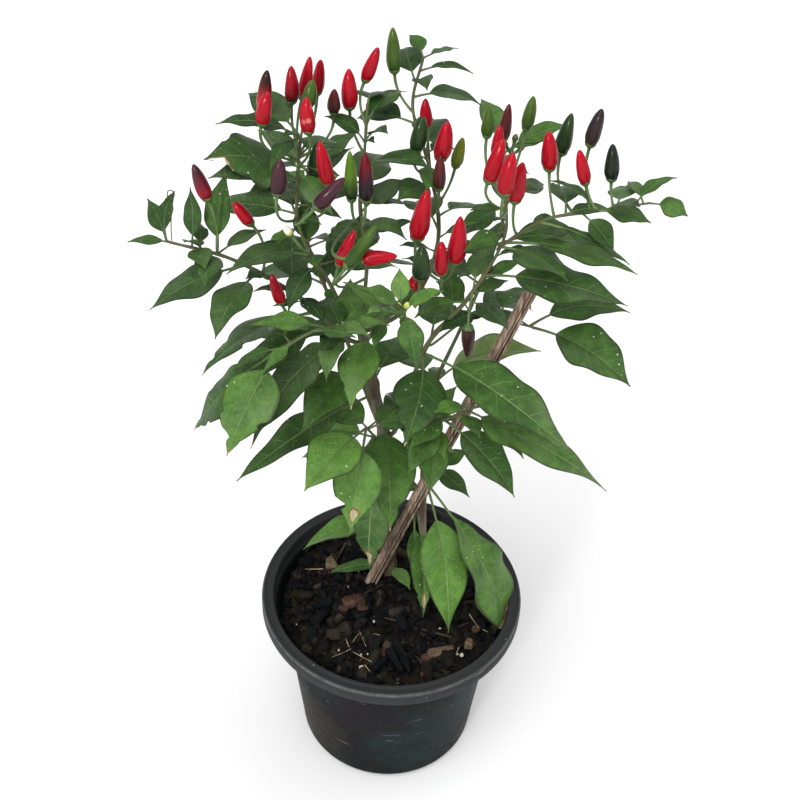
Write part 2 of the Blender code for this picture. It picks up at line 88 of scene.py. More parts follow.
class Look:
    def __init__(self, name, constants):
        self.material = bpy.data.materials.new(name)
        self.material.use_nodes = True
        self.tree = self.material.node_tree
        self.shader = self.tree.nodes["Principled BSDF"]
        self.connect(self.shader, constants)
        self.place = self.node("ShaderNodeTexCoord", output="Object")

    def connect(self, made, inputs):
        for name, value in inputs.items():
            socket = made.inputs[name]
            if isinstance(value, Wire):
                self.tree.links.new(value.socket, socket)
            elif socket.type == "RGBA":
                socket.default_value = (*value, 1)
            else:
                socket.default_value = value

    # One node of any kind: its settings first, then its sockets' values or links.
    def node(self, kind, settings=None, inputs=None, output=0):
        made = self.tree.nodes.new(kind)
        for name, value in (settings or {}).items():
            if name == "stops":
                stops = made.color_ramp.elements
                while len(stops) < len(value):
                    stops.new(1)
                for stop, (position, colour) in zip(stops, value):
                    stop.position = position
                    stop.color = (*colour, 1)
            else:
                setattr(made, name, value)
        self.connect(made, inputs or {})
        return Wire(self, made.outputs[output])

    def attribute(self, name):
        return self.node("ShaderNodeAttribute", {"attribute_name": name}, output="Fac")

    def moved(self, location=(0, 0, 0), rotation=(0, 0, 0), scale=(1, 1, 1)):
        values = {"Vector": self.place, "Location": location, "Rotation": rotation, "Scale": scale}
        return self.node("ShaderNodeMapping", {}, values)

    def noise(self, scale, detail=3, roughness=0.55, vector=None, distortion=0):
        values = {
            "Vector": vector or self.place,
            "Scale": scale,
            "Detail": detail,
            "Roughness": roughness,
            "Distortion": distortion,
        }
        return self.node("ShaderNodeTexNoise", {}, values)

    def cells(self, scale, feature="F1"):
        values = {"Vector": self.place, "Scale": scale}
        return self.node("ShaderNodeTexVoronoi", {"feature": feature}, values)

    # 1 within about size of the point, 0 beyond, with an uneven edge
    def near(self, point, size, uneven):
        values = {0: self.place, 1: point}
        gap = self.node("ShaderNodeVectorMath", {"operation": "DISTANCE"}, values, "Value")
        return 1 - (gap + (uneven - 0.5) * size).step(size * 0.55, size * 1.15)

    def mix(self, share, first, second):
        return self.node("ShaderNodeMix", {"data_type": "RGBA"}, {0: share, 6: first, 7: second}, 2)

    def ramp(self, share, *stops):
        return self.node("ShaderNodeValToRGB", {"stops": stops}, {"Fac": share})

    def bump(self, height, strength, distance):
        values = {"Height": height, "Strength": strength, "Distance": distance}
        return self.node("ShaderNodeBump", {}, values)

    def finish(self, colour, roughness, normal=None, **others):
        values = {"Base Color": colour, "Roughness": roughness, **others}
        if normal:
            values["Normal"] = normal
        self.connect(self.shader, values)
        return self.material


# Directions, routes and sections
def direction(heading, rise):
    turn = math.radians(heading)
    tilt = math.radians(rise)
    return Vector((math.cos(turn) * math.cos(tilt), math.sin(turn) * math.cos(tilt), math.sin(tilt)))


def metres(points):
    return [Vector(point) * mm for point in points]


# a smooth line through the points, with places about a step apart
def smoothRoute(points, step=0.003):
    ends = [points[0] * 2 - points[1], *points, points[-1] * 2 - points[-2]]
    places = []
    for before, start, end, after in zip(ends, ends[1:], ends[2:], ends[3:]):
        count = max(2, round((end - start).length / step))
        for index in range(count):
            t = index / count
            straight = start * 2 + (end - before) * t
            second = (before * 2 - start * 5 + end * 4 - after) * t**2
            third = (start * 3 - before - end * 3 + after) * t**3
            places.append((straight + second + third) / 2)
    places.append(points[-1].copy())
    return places


# the place a share of the way along a route
def placeAlong(route, share):
    spans = [(b - a).length for a, b in zip(route, route[1:])]
    left = share * sum(spans)
    for start, end, span in zip(route, route[1:], spans):
        if left <= span:
            return start.lerp(end, left / span)
        left -= span
    return route[-1].copy()


# the place on the routes nearest to a point, past each route's first few steps
def nearestPlace(routes, point, steps=60):
    places = [placeAlong(route, step / steps) for route in routes for step in range(2, steps + 1)]
    return min(places, key=lambda place: (place - point).length)


# puts a unit circle across a tube: at a point, square to along, with its x axis towards side
def sectionMatrix(point, along, side, halfWidth, halfDepth):
    along = along.normalized()
    across = (side - along * side.dot(along)).normalized()
    up = along.cross(across)
    turn = Matrix((across, up, along)).transposed().to_4x4()
    return Matrix.Translation(point) @ turn @ Matrix.Diagonal((halfWidth, halfDepth, 1, 1))


def floatLayer(bm, name):
    return bm.verts.layers.float.get(name) or bm.verts.layers.float.new(name)


# Turns a profile of (radius, height) pairs about the upright axis into a closed body. Edges
# longer than longest are divided first.
def turnProfile(profile, steps, merge, longest=None):
    bm = bmesh.new()
    verts = [bm.verts.new((radius, 0, height)) for radius, height in profile]
    edges = [bm.edges.new(pair) for pair in zip(verts, verts[1:])]
    if longest:
        long = [edge for edge in edges if edge.calc_length() > longest]
        bmesh.ops.subdivide_edges(bm, edges=long, cuts=9)
    turn = {"cent": (0, 0, 0), "axis": (0, 0, 1), "angle": 2 * math.pi, "steps": steps}
    bmesh.ops.spin(bm, geom=bm.verts[:] + bm.edges[:], use_merge=True, **turn)
    bmesh.ops.remove_doubles(bm, verts=bm.verts, dist=merge)
    return bm


# Adds a closed tube through the points. shape(angle, share) gives each corner's share of the
# radius and its shift along the tube, and values(share) gives the attributes of each ring.
def sweep(bm, points, radii, sides, values=None, shape=None, side=None, flat=1):
    last = len(points) - 1
    ways = [points[min(i + 1, last)] - points[max(i - 1, 0)] for i in range(last + 1)]
    side = (side or ways[0].orthogonal()).copy()
    layers = {name: floatLayer(bm, name) for name in (values(0) if values else ())}
    ring = bmesh.ops.create_circle(bm, segments=sides, radius=1, cap_ends=True)["verts"]
    edges = list({edge for vert in ring for edge in vert.link_edges})
    before = Matrix.Identity(4)
    for index, (point, radius) in enumerate(zip(points, radii)):
        share = index / last
        side.rotate(ways[max(index - 1, 0)].rotation_difference(ways[index]))
        here = sectionMatrix(point, ways[index], side, radius, radius * flat)
        if index:
            grown = bmesh.ops.extrude_edge_only(bm, edges=edges)["geom"]
            ring = [item for item in grown if isinstance(item, bmesh.types.BMVert)]
            inRing = set(ring)
            edges = [item for item in grown if isinstance(item, bmesh.types.BMEdge)]
            edges = [edge for edge in edges if edge.verts[0] in inRing and edge.verts[1] in inRing]
        back = before.inverted()
        for vert in ring:
            spot = back @ vert.co
            angle = math.atan2(spot.y, spot.x)
            grow, lift = shape(angle, share) if shape else (1, 0)
            vert.co = here @ Vector((math.cos(angle) * grow, math.sin(angle) * grow, lift))
            for name, layer in layers.items():
                vert[layer] = values(share)[name]
        before = here
    bmesh.ops.holes_fill(bm, edges=edges, sides=sides)


# A finished piece: its faces turned out, smooth up to the sharp angle, and the CAD nodes that it
# stands in for hidden.
def newPiece(name, bm, material, slot, replaced=(), sharp=40):
    bmesh.ops.recalc_face_normals(bm, faces=bm.faces)
    mesh = bpy.data.meshes.new(name)
    bm.to_mesh(mesh)
    bm.free()
    mesh.shade_smooth()
    mesh.set_sharp_from_angle(angle=math.radians(sharp))
    mesh.materials.append(material)
    piece = bpy.data.objects.new(name, mesh)
    bpy.context.scene.collection.objects.link(piece)
    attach(piece, "root")
    if replaced:
        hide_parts(*replaced)
    return piece


# Leaf skin: bright to dark green by each leaf's tone, with paler sunk veins, a pale underside,
# dust with a painted sheen on the upper side, a thin dark margin, a few white specks and dried patches.
leafPaint = {
    "pale": (0.3, 0.37, 0.15),
    "bright": (0.118, 0.262, 0.045),
    "middle": (0.043, 0.104, 0.022),
    "dark": (0.0165, 0.042, 0.015),
    "vein": (0.23, 0.35, 0.13),
    "under": (0.13, 0.2, 0.085),
    "speck": (0.6, 0.66, 0.48),
    "dried": (0.4, 0.35, 0.2),
    "burnt": (0.17, 0.085, 0.035),
    # dust and a painted sheen: the pale grey-green of patches on the upper side
    "margin": (0.028, 0.024, 0.016),
    "dust": (0.18, 0.24, 0.125),
    "veinPairs": 6,
    "roughness": 0.42,
}


def leafLook():
    paint = leafPaint
    look = Look("leafSkin", {"Specular IOR Level": 0.11})
    along = look.attribute("leafAlong")
    across = look.attribute("leafAcross")
    rim = look.attribute("leafRim")
    tone = look.attribute("leafTone")
    under = look.attribute("leafUnder")
    scar = look.attribute("leafScar")
    side = abs(across)
    blotch = look.noise(55, 3)
    fine = look.noise(700, 2)
    wander = (look.noise(120, 2) - 0.5) * 0.22
    # side veins leave the midrib in pairs and curve towards the tip
    phase = (along - side * 0.72 - side * side * 1.6) * paint["veinPairs"] + wander
    phase = phase + across.maths("SIGN") * 0.22
    toVein = abs(phase.maths("FRACT") - 0.5)
    lateral = toVein.step(0.44, 0.497) * (1 - rim * rim) * along.step(0.02, 0.12)
    midrib = 1 - (side / (1.12 - along)).step(0.003, 0.0105)
    net = 1 - look.cells(230, "DISTANCE_TO_EDGE").step(0.0, 0.09)
    cloudy = look.noise(150, 3, 0.6)
    shade = 0.5 + (tone + (blotch - 0.5) * 0.75 + (cloudy - 0.5) * 0.6 + net * 0.12) * 0.5
    stops = ((0.2, paint["pale"]), (0.5, paint["bright"]), (0.75, paint["middle"]), (1.0, paint["dark"]))
    green = look.ramp(shade, *stops)
    green = look.mix(under * 0.72, green, paint["under"])
    veins = (lateral * 0.38).over(midrib) + net * 0.05
    green = look.mix(veins * (1 - tone * 0.35), green, paint["vein"])
    # dust and painted sheen: pale grey-green patches on the upper side only
    dustAndSheen = look.noise(24, 3).step(0.46, 0.72) * 0.32 + fine.step(0.5, 0.8) * 0.1
    green = look.mix(dustAndSheen * (1 - under), green, paint["dust"])
    green = look.mix(rim.step(0.86, 0.99) * (0.5 + along * 0.45), green, paint["margin"])
    speckle = 1 - look.cells(165).step(0.07, 0.12)
    speckle = speckle * look.noise(34, 1).step(0.56, 0.62) * (1 - under)
    dots = (1 - look.cells(420).step(0.1, 0.16)) * look.noise(30, 2).step(0.5, 0.6) * (1 - under)
    green = look.mix((speckle * 0.85).over(dots * 0.4), green, paint["speck"])
    # dried patches have a ragged, burnt edge
    ragged = scar + (look.noise(210, 4, 0.62) - 0.5) * 1.3 * scar.step(0.02, 0.35)
    green = look.mix(ragged.step(0.3, 0.42), green, paint["burnt"])
    colour = look.mix(ragged.step(0.46, 0.6), green, paint["dried"])
    relief = (lateral * 0.6 + midrib + net * 0.35) * (under * 2 - 1)
    relief = relief + fine * 0.25 + cloudy * 0.9 + ragged.step(0.3, 0.8)
    normal = look.bump(relief, 0.65, 0.0007)
    rough = paint["roughness"] + (blotch - 0.5) * 0.18 + under * 0.15 + ragged.step(0.3, 0.6) * 0.3
    return look.finish(colour, rough, normal)


# Stems: green petioles flushed with purple, olive stems with brown at their nodes, grey-brown
# bark on old wood.
stemPaint = {
    "petiole": (0.115, 0.19, 0.06),
    "purple": (0.05, 0.036, 0.03),
    "olive": (0.085, 0.125, 0.042),
    "node": (0.1, 0.052, 0.028),
    "bark": (0.082, 0.06, 0.042),
    "barkLight": (0.2, 0.165, 0.125),
    "roughness": 0.55,
}


def stemLook():
    paint = stemPaint
    look = Look("stemSkin", {"Specular IOR Level": 0.4})
    wood = look.attribute("stemWood")
    node = look.attribute("stemNode")
    streak = look.noise(420, 4, vector=look.moved(scale=(1, 1, 0.12)))
    blotch = look.noise(75, 3)
    age = wood + (blotch - 0.5) * 0.25
    stops = ((0.0, paint["petiole"]), (0.35, paint["olive"]), (0.72, paint["bark"]))
    colour = look.ramp(age, *stops)
    light = streak.step(0.55, 0.75) * wood.step(0.3, 0.9)
    colour = look.mix(light * 0.75, colour, paint["barkLight"])
    colour = look.mix(streak.step(0.45, 0.7) * 0.3, colour, paint["petiole"])
    flush = look.noise(14, 2).step(0.46, 0.6) * (1 - wood.step(0.15, 0.5))
    colour = look.mix(flush * 0.45, colour, paint["purple"])
    colour = look.mix(node * (0.35 + blotch * 0.6), colour, paint["node"])
    normal = look.bump(streak + blotch * 0.4, 0.5, 0.0006)
    return look.finish(colour, paint["roughness"] + streak * 0.2, normal)


# Calyxes and pepper stalks: fresh green, darker to the cup, with a pale thin lip.
stalkPaint = {
    "stalk": (0.085, 0.15, 0.042),
    "cup": (0.055, 0.115, 0.026),
    "lip": (0.3, 0.36, 0.12),
    "roughness": 0.42,
}


def stalkLook():
    paint = stalkPaint
    look = Look("stalkSkin", {"Specular IOR Level": 0.45})
    cup = look.attribute("stalkCup")
    blotch = look.noise(160, 3)
    streak = look.noise(500, 3, vector=look.moved(scale=(1, 1, 0.2)))
    stops = ((0.0, paint["stalk"]), (0.55, paint["cup"]), (0.85, paint["cup"]), (1.0, paint["lip"]))
    colour = look.ramp(cup + (blotch - 0.5) * 0.2, *stops)
    colour = look.mix(streak.step(0.5, 0.7) * 0.25, colour, paint["lip"])
    normal = look.bump(streak + blotch, 0.35, 0.0003)
    return look.finish(colour, paint["roughness"] + blotch * 0.15, normal)


# Pepper skins: the slot, the colours at the stalk and at the tip, where along the pepper they
# meet, and how softly.
pepperSkins = {
    "red": ("pepper_red", (0.3, 0.001, 0.008), (0.41, 0.0025, 0.014), 0.5, 0.4),
    "redSpotted": ("pepper_red", (0.35, 0.0018, 0.01), (0.4, 0.003, 0.013), 0.5, 0.4),
    "redBlackBase": ("pepper_red", (0.05, 0.008, 0.012), (0.3, 0.004, 0.012), 0.3, 0.3),
    "redBlackTip": ("pepper_maroon", (0.36, 0.006, 0.01), (0.03, 0.011, 0.007), 0.56, 0.2),
    "maroonBlackTip": ("pepper_maroon", (0.21, 0.004, 0.014), (0.06, 0.015, 0.024), 0.62, 0.3),
    "maroonBlackBase": ("pepper_maroon", (0.013, 0.006, 0.009), (0.13, 0.004, 0.011), 0.6, 0.25),
    "brown": ("pepper_maroon", (0.045, 0.014, 0.012), (0.1, 0.013, 0.013), 0.5, 0.4),
    "plum": ("pepper_purple", (0.035, 0.012, 0.012), (0.045, 0.013, 0.013), 0.5, 0.4),
    "purple": ("pepper_purple", (0.038, 0.011, 0.018), (0.06, 0.018, 0.027), 0.5, 0.4),
    "black": ("pepper_purple", (0.03, 0.02, 0.018), (0.028, 0.015, 0.016), 0.5, 0.4),
    "green": ("pepper_green", (0.028, 0.066, 0.009), (0.06, 0.112, 0.015), 0.4, 0.4),
    "lime": ("pepper_green", (0.1, 0.16, 0.01), (0.13, 0.15, 0.014), 0.5, 0.4),
    "limeBlackBase": ("pepper_green", (0.008, 0.022, 0.006), (0.085, 0.18, 0.012), 0.36, 0.22),
    "darkGreen": ("pepper_dark_green", (0.011, 0.03, 0.008), (0.022, 0.048, 0.013), 0.5, 0.4),
    "whiteBud": ("foliage", (0.5, 0.45, 0.12), (0.72, 0.75, 0.62), 0.4, 0.1),
    "greenBud": ("foliage", (0.32, 0.42, 0.08), (0.55, 0.62, 0.16), 0.5, 0.3),
    "dryBud": ("foliage", (0.09, 0.085, 0.03), (0.16, 0.12, 0.045), 0.5, 0.3),
    "blackGreen": ("pepper_dark_green", (0.008, 0.014, 0.009), (0.012, 0.02, 0.01), 0.5, 0.4),
}
pepperGloss = {
    "roughness": 0.3,
    "specular": 0.06,
    "coat": 0.32,
    "coatRoughness": 0.16,
    "spot": (0.72, 0.2, 0.16),
    "shade": 0.45,
}


def pepperLook(name):
    slot, base, tip, place, soft = pepperSkins[name]
    constants = {
        "Coat Weight": pepperGloss["coat"],
        "Coat Roughness": pepperGloss["coatRoughness"],
        "Specular IOR Level": pepperGloss["specular"],
    }
    look = Look(f"pepper_{name}", constants)
    along = look.attribute("fruitAlong")
    tone = look.attribute("fruitTone")
    blotch = look.noise(140, 3)
    blush = (along + (blotch - 0.5) * 0.35 + (tone - 0.5) * 0.2).step(place - soft, place + soft)
    colour = look.mix(blush, base, tip)
    shaded = tuple(channel * pepperGloss["shade"] for channel in base)
    colour = look.mix(look.noise(60, 2).step(0.5, 0.8) * 0.45, colour, shaded)
    # painted shade: the pepper is darker at its stalk end, just under the calyx
    colour = look.mix((1 - along.step(0.0, 0.13)) * 0.5, colour, shaded)
    if name == "redSpotted":
        spots = (1 - look.cells(170).step(0.16, 0.34)) * look.noise(70, 1).step(0.42, 0.56)
        colour = look.mix(spots * 0.7, colour, pepperGloss["spot"])
    fine = look.noise(900, 2)
    normal = look.bump(fine * 0.15 + look.noise(170, 2), 0.45, 0.0009)
    return look.finish(colour, pepperGloss["roughness"] + blotch * 0.12 + fine * 0.05, normal)


print("materials for the plant are ready")

# One leaf is (place along its shoot, heading, rise, length, width), in degrees and millimetres.
# Some have a mark: tip, singed, torn and burnt leaves are dried in places, a blunt leaf is
# broad to its dried end, and a pale leaf is young.
leafForm = {
    "stalk": 0.22,  # share of a leaf's length that is its stalk
    "arch": 0.07,
    "droop": 0.1,
    "sway": 0.05,
    "fold": 15,  # degrees that each half stands up from the midrib
    "tilt": 14,  # degrees that a leaf may lean about its length, and twist on its way out
    "twist": 16,
    "wave": 0.018,
    "quilt": 0.0055,
    "curl": 0.22,
    "cell": 0.0026,
    "thick": 0.00032,
    "nicked": ("singed", "torn", "tip", "burnt"),  # marks whose leaves have bitten edges
    "bite": 1.1,
    "lighter": {"pale": 1.0, "torn": 0.12, "blunt": 0.3},
    "broadest": (0.85, 1.45),  # powers that shape the outline towards base and tip
    "bluntBroadest": (1.15, 0.6),
    "bluntCut": 0.93,
    "gone": 0.72,  # a torn leaf is missing where it is more dried than this
    "stalkRadius": 0.00085,
    "stalkRings": 15,
}


# the blade's half width at t, as a share of its broadest
def leafOutline(t, powers):
    rise, fall = powers
    peak = rise / (rise + fall)
    return t**rise * (1 - t) ** fall / (peak**rise * (1 - peak) ** fall)


# how dried a place on the blade is, for each kind of mark
def scarAt(mark, t, across):
    if mark in ("tip", "blunt"):
        return max(0, (t - 0.9) * 9)
    if mark == "singed":
        return max(0, (t - 0.78) * 2.3 + (abs(across) - 0.8) * 0.4)
    if mark == "torn":
        return max(0, 1.1 - math.hypot((t - 0.86) * 6.5, (across - 0.55) * 1.3)) * 1.1
    if mark == "burnt":
        return max(0, 1.1 - math.hypot((t - 0.8) * 8, (across - 0.1) * 1.6)) * 1.2
    return 0


# the blade's half width at t on one side, bitten towards the tip on a nicked leaf
def bladeEdge(t, onLeft, half, mark, seed):
    form = leafForm
    cut, powers = 1, form["broadest"]
    if mark == "blunt":
        cut, powers = form["bluntCut"], form["bluntBroadest"]
    edge = max(half * leafOutline(t * cut, powers), 0.0003 + 0.0005 * (1 - t))
    if mark in form["nicked"]:
        nick = max(0, noise.noise(Vector((t * 8, 7 * onLeft, seed))) - 0.05)
        edge = max(edge * (1 - form["bite"] * nick * min(1, max(0, (t - 0.5) * 5))), 0.0003)
    return edge


# One leaf: its blade goes into leaves, and its stalk, which runs on as the midrib, into stems.
def addLeaf(leaves, stems, start, row, tone, chance):
    _, heading, rise, length, width = row[:5]
    mark = row[5] if len(row) > 5 else ""
    form = leafForm
    tone -= form["lighter"].get(mark, 0)
    length *= mm
    half = width * mm / 2
    chord = direction(heading, rise)
    side = direction(heading + 90, 0)
    side.rotate(Matrix.Rotation(math.radians(chance.uniform(-form["tilt"], form["tilt"])), 3, chord))
    up = chord.cross(side)
    arch = form["arch"] * chance.uniform(0.8, 1.7)
    droop = chance.uniform(0, form["droop"])
    sway = chance.uniform(-form["sway"], form["sway"])
    fold = math.radians(form["fold"] * chance.uniform(0.5, 1.7))
    twist = math.radians(chance.uniform(-form["twist"], form["twist"]))
    waves = chance.uniform(1.5, 2.6)
    phases = (chance.uniform(*anyTurn), chance.uniform(*anyTurn))
    waveHeight = form["wave"] * length * chance.uniform(0.5, 1.5)

    def centre(share):
        lift = 4 * arch * share * (1 - share) - droop * share**3
        return start + (chord * share + up * lift + side * sway * math.sin(math.pi * share)) * length

    stalk = form["stalk"]
    cellsAlong = min(34, max(12, round(length / form["cell"])))
    cellsAcross = 2 * min(6, max(3, round(half / form["cell"])))
    names = ("leafAlong", "leafAcross", "leafRim", "leafTone", "leafUnder", "leafScar")
    layer = {name: floatLayer(leaves, name) for name in names}
    made = bmesh.ops.create_grid(leaves, x_segments=cellsAlong, y_segments=cellsAcross, size=0.5)
    grid = made["verts"]
    faces = list({face for vert in grid for face in vert.link_faces})
    for vert in grid:
        t = vert.co.x + 0.5  # 0 at the blade's base, 1 at its tip
        q = vert.co.y * 2  # -1 to 1 across the blade
        share = stalk + (1 - stalk) * t
        way = (centre(share + 0.01) - centre(share - 0.01)).normalized()
        flat = (side - way * side.dot(way)).normalized()
        flat.rotate(Matrix.Rotation(twist * t, 3, way))
        above = way.cross(flat)
        offset = q * bladeEdge(t, q > 0, half, mark, phases[0])
        size = abs(offset)
        veinPhase = (t - size / length * 0.9) * leafPaint["veinPairs"]
        quilt = form["quilt"] * length * (0.5 - 0.5 * math.cos(2 * math.pi * veinPhase))
        quilt *= abs(q) * (1 - q * q)
        wave = waveHeight * q * q * math.sin(2 * math.pi * waves * t + phases[q > 0])
        wave *= math.sin(math.pi * t)
        curl = -form["curl"] * size * size / half
        height = size * math.sin(fold) + quilt + wave + curl
        ragged = 0
        if mark == "blunt":
            ragged = 0.05 * noise.noise(Vector((q * 2.5, 0, phases[0]))) * max(0, t - 0.5)
        vert.co = centre(share + ragged) + flat * offset * math.cos(fold) + above * height
        vert[layer["leafAlong"]] = t
        vert[layer["leafAcross"]] = offset / length
        vert[layer["leafRim"]] = abs(q)
        vert[layer["leafTone"]] = tone
        vert[layer["leafScar"]] = scarAt(mark, t, q)
    if mark == "torn":
        gone = [vert for vert in grid if vert[layer["leafScar"]] > form["gone"]]
        bmesh.ops.delete(leaves, geom=gone, context="VERTS")
        faces = [face for face in faces if face.is_valid]
    bmesh.ops.recalc_face_normals(leaves, faces=faces)
    if faces[0].normal.dot(up) < 0:
        bmesh.ops.reverse_faces(leaves, faces=faces)
    thick = bmesh.ops.solidify(leaves, geom=faces, thickness=form["thick"])["geom"]
    for item in thick:
        if isinstance(item, bmesh.types.BMVert):
            item[layer["leafUnder"]] = 1
    # the stalk thins at its foot, and again as the midrib under the blade
    radius = form["stalkRadius"] * min(1, 0.45 + length / 0.12)
    last = form["stalkRings"] - 1
    below, radii = [], []
    for step in range(form["stalkRings"]):
        below.append(centre(step / last * 0.86) - up * 0.0003)
        radii.append(radius * (1.25 - 0.35 * min(step / 4, 1)) * (1 - 0.82 * max(0, step - 4) / 10))
    sweep(stems, below, radii, 7, lambda share: {"stemWood": 0.04, "stemNode": max(0, 0.7 - share * 12)})


# Peppers, their stalks and calyxes. One pepper is (place of its base, heading, rise, length,
# width, skin).
pepperForm = {
    "gap": 0.3,
    "reach": 26,  # how far below the pepper its stalk leaves the wood
    "stalkRadius": 0.0009,
    "stalkRings": 11,
    "calyx": 3,
    "cupWidth": 0.72,  # share of the pepper's width
    # rings of the cup: height in millimetres and share of the cup's radius
    "cup": (
        *((-3.0, 0.26), (-2.3, 0.36), (-1.6, 0.55), (-0.9, 0.8)),
        *((-0.2, 0.98), (0.7, 1.08), (1.5, 1.12), (1.7, 1.02)),
    ),
    "lobe": 0.05,
    "lip": 0.0006,
    "bend": 0.5,
    "rings": 22,
    "sides": 24,
    "lump": 0.035,
    "lobes": 0.03,
    "curve": 0.05,
    "taper": (0.1, 0.7),  # from blunt to slim tips
}


# a pepper's radius at t, as a share of its broadest
def pepperRadius(t, taper):
    if t < 0.24:
        return 1 - 0.34 * (1 - t / 0.24) ** 2
    share = (t - 0.24) / 0.76
    full = max(0, 1 - share**2) ** 0.52
    slim = max(0, 1 - share**1.5) ** 0.64
    return full + (slim - full) * taper


def addPepper(name, row, chance):
    base, heading, rise, length, width, skin = row
    axis = direction(heading, rise)
    length *= mm
    half = width * mm / 2
    form = pepperForm
    rings = form["rings"]
    steps = [math.sin(math.pi / 2 * step / rings) ** 1.1 for step in range(1, rings)]
    taper = chance.uniform(*form["taper"])
    body = [(pepperRadius(t, taper), t) for t in steps]
    # the base is a shallow cup, hidden in the calyx
    bm = turnProfile([(0, 0.03), (0.35, 0.0), (0.64, 0.0), *body, (0, 1)], form["sides"], 0.0001)
    along = floatLayer(bm, "fruitAlong")
    toned = floatLayer(bm, "fruitTone")
    tone = chance.random()
    phase = chance.uniform(*anyTurn)
    bendWay = chance.uniform(*anyTurn)
    bend = Vector((math.cos(bendWay), math.sin(bendWay), 0)) * form["curve"]
    bend = bend * chance.uniform(0.3, 1.3)
    seed = Vector((chance.uniform(0, 50), chance.uniform(0, 50), 0))
    turnTo = sectionMatrix(Vector(base) * mm, axis, Vector((0, 1, 0.01)), 1, 1)
    for vert in bm.verts:
        t = vert.co.z
        angle = math.atan2(vert.co.y, vert.co.x)
        radius = math.hypot(vert.co.x, vert.co.y) * half
        bumpy = noise.noise(vert.co * 2.1 + seed) * form["lump"] * 2
        lobed = form["lobes"] * math.cos(3 * angle + phase + t * 1.5)
        radius *= 1 + bumpy + lobed
        spot = Vector((math.cos(angle) * radius, math.sin(angle) * radius, t * length))
        spot += bend * length * t * t
        vert[along] = t
        vert[toned] = tone
        vert.co = turnTo @ spot
    return newPiece(name, bm, pepperMaterials[skin], pepperSkins[skin][0])


# a stalk curved up from the nearest wood to its pepper, with a cup round the pepper's base
def addStalk(stalks, routes, row):
    base, heading, rise, _, width, _ = row
    form = pepperForm
    axis = direction(heading, rise)
    top = Vector(base) * mm - axis * form["gap"] * mm
    foot = top - axis * form["calyx"] * mm
    start = nearestPlace(routes, Vector(base) * mm - axis * form["reach"] * mm)
    bend = foot - axis * (foot - start).length * form["bend"]
    rings = form["stalkRings"]
    points, radii = [], []
    for step in range(rings):
        t = step / rings
        points.append(start.lerp(bend, t).lerp(bend.lerp(foot, t), t))
        radii.append(form["stalkRadius"] * (1.1 - 0.25 * math.sin(math.pi * step / (rings - 1))))
    cup = width * mm / 2 * form["cupWidth"]
    for height, wide in form["cup"]:
        points.append(top + axis * height * mm)
        radii.append(max(cup * wide, form["stalkRadius"] * 1.1))
    first = rings / (len(points) - 1)

    def lobed(angle, share):
        lip = max(0, (share - first) / (1 - first))
        wave = math.cos(5 * angle)
        return 1 + form["lobe"] * lip * wave, form["lip"] * lip * lip * wave

    def cupValue(share):
        return {"stalkCup": max(0, (share - first + 0.08) / (1.08 - first))}

    sweep(stalks, points, radii, 15, cupValue, lobed)


# The plant. A branch has the tone of its leaves, from about 0 for bright to 1 for dark, its
# shoots and its peppers. A shoot has its thickness at both ends, its route and its leaves.
trunk = {
    "thick": (10, 7),
    "route": ((0, 30, 82), (-2, 31, 135), (-5, 32, 215), (-10, 28, 280), (-20, 20, 340), (-27, 15, 384)),
    "leaves": (
        (0.74, -82, -23, 89, 41, "tip"),
        (0.36, -163, -12, 70, 25),
        (0.2, -168, -2, 50, 12),
        (0.2, -58, 7, 32, 15),
        (0.46, 105, -25, 84, 32),
        (0.57, 155, -18, 80, 32),
        (0.66, 80, -12, 76, 30),
        (0.84, 72, 0, 62, 28),
    ),
}
lowLeft = {
    "thick": (3, 2),
    "route": ((-9, 28, 272), (-16, -5, 310), (-21, -35, 344)),
    "leaves": (
        (1, -130, -12, 59, 40),
        (1, -100, -50, 68, 34, "burnt"),
        (0.3, -107, -78, 118, 30, "burnt"),
        (0.6, 150, 15, 50, 24),
    ),
}
lowRight = {
    "thick": (4, 2),
    "route": ((-3, 31, 165), (10, 28, 195), (22, 25, 225), (26, 22, 262)),
    "leaves": (
        (0.75, -72, -48, 110, 38),
        (0.78, -30, -52, 122, 54, "blunt"),
        (0.5, -82, -47, 81, 23, "burnt"),
        (0.45, -78, -64, 52, 14),
    ),
}
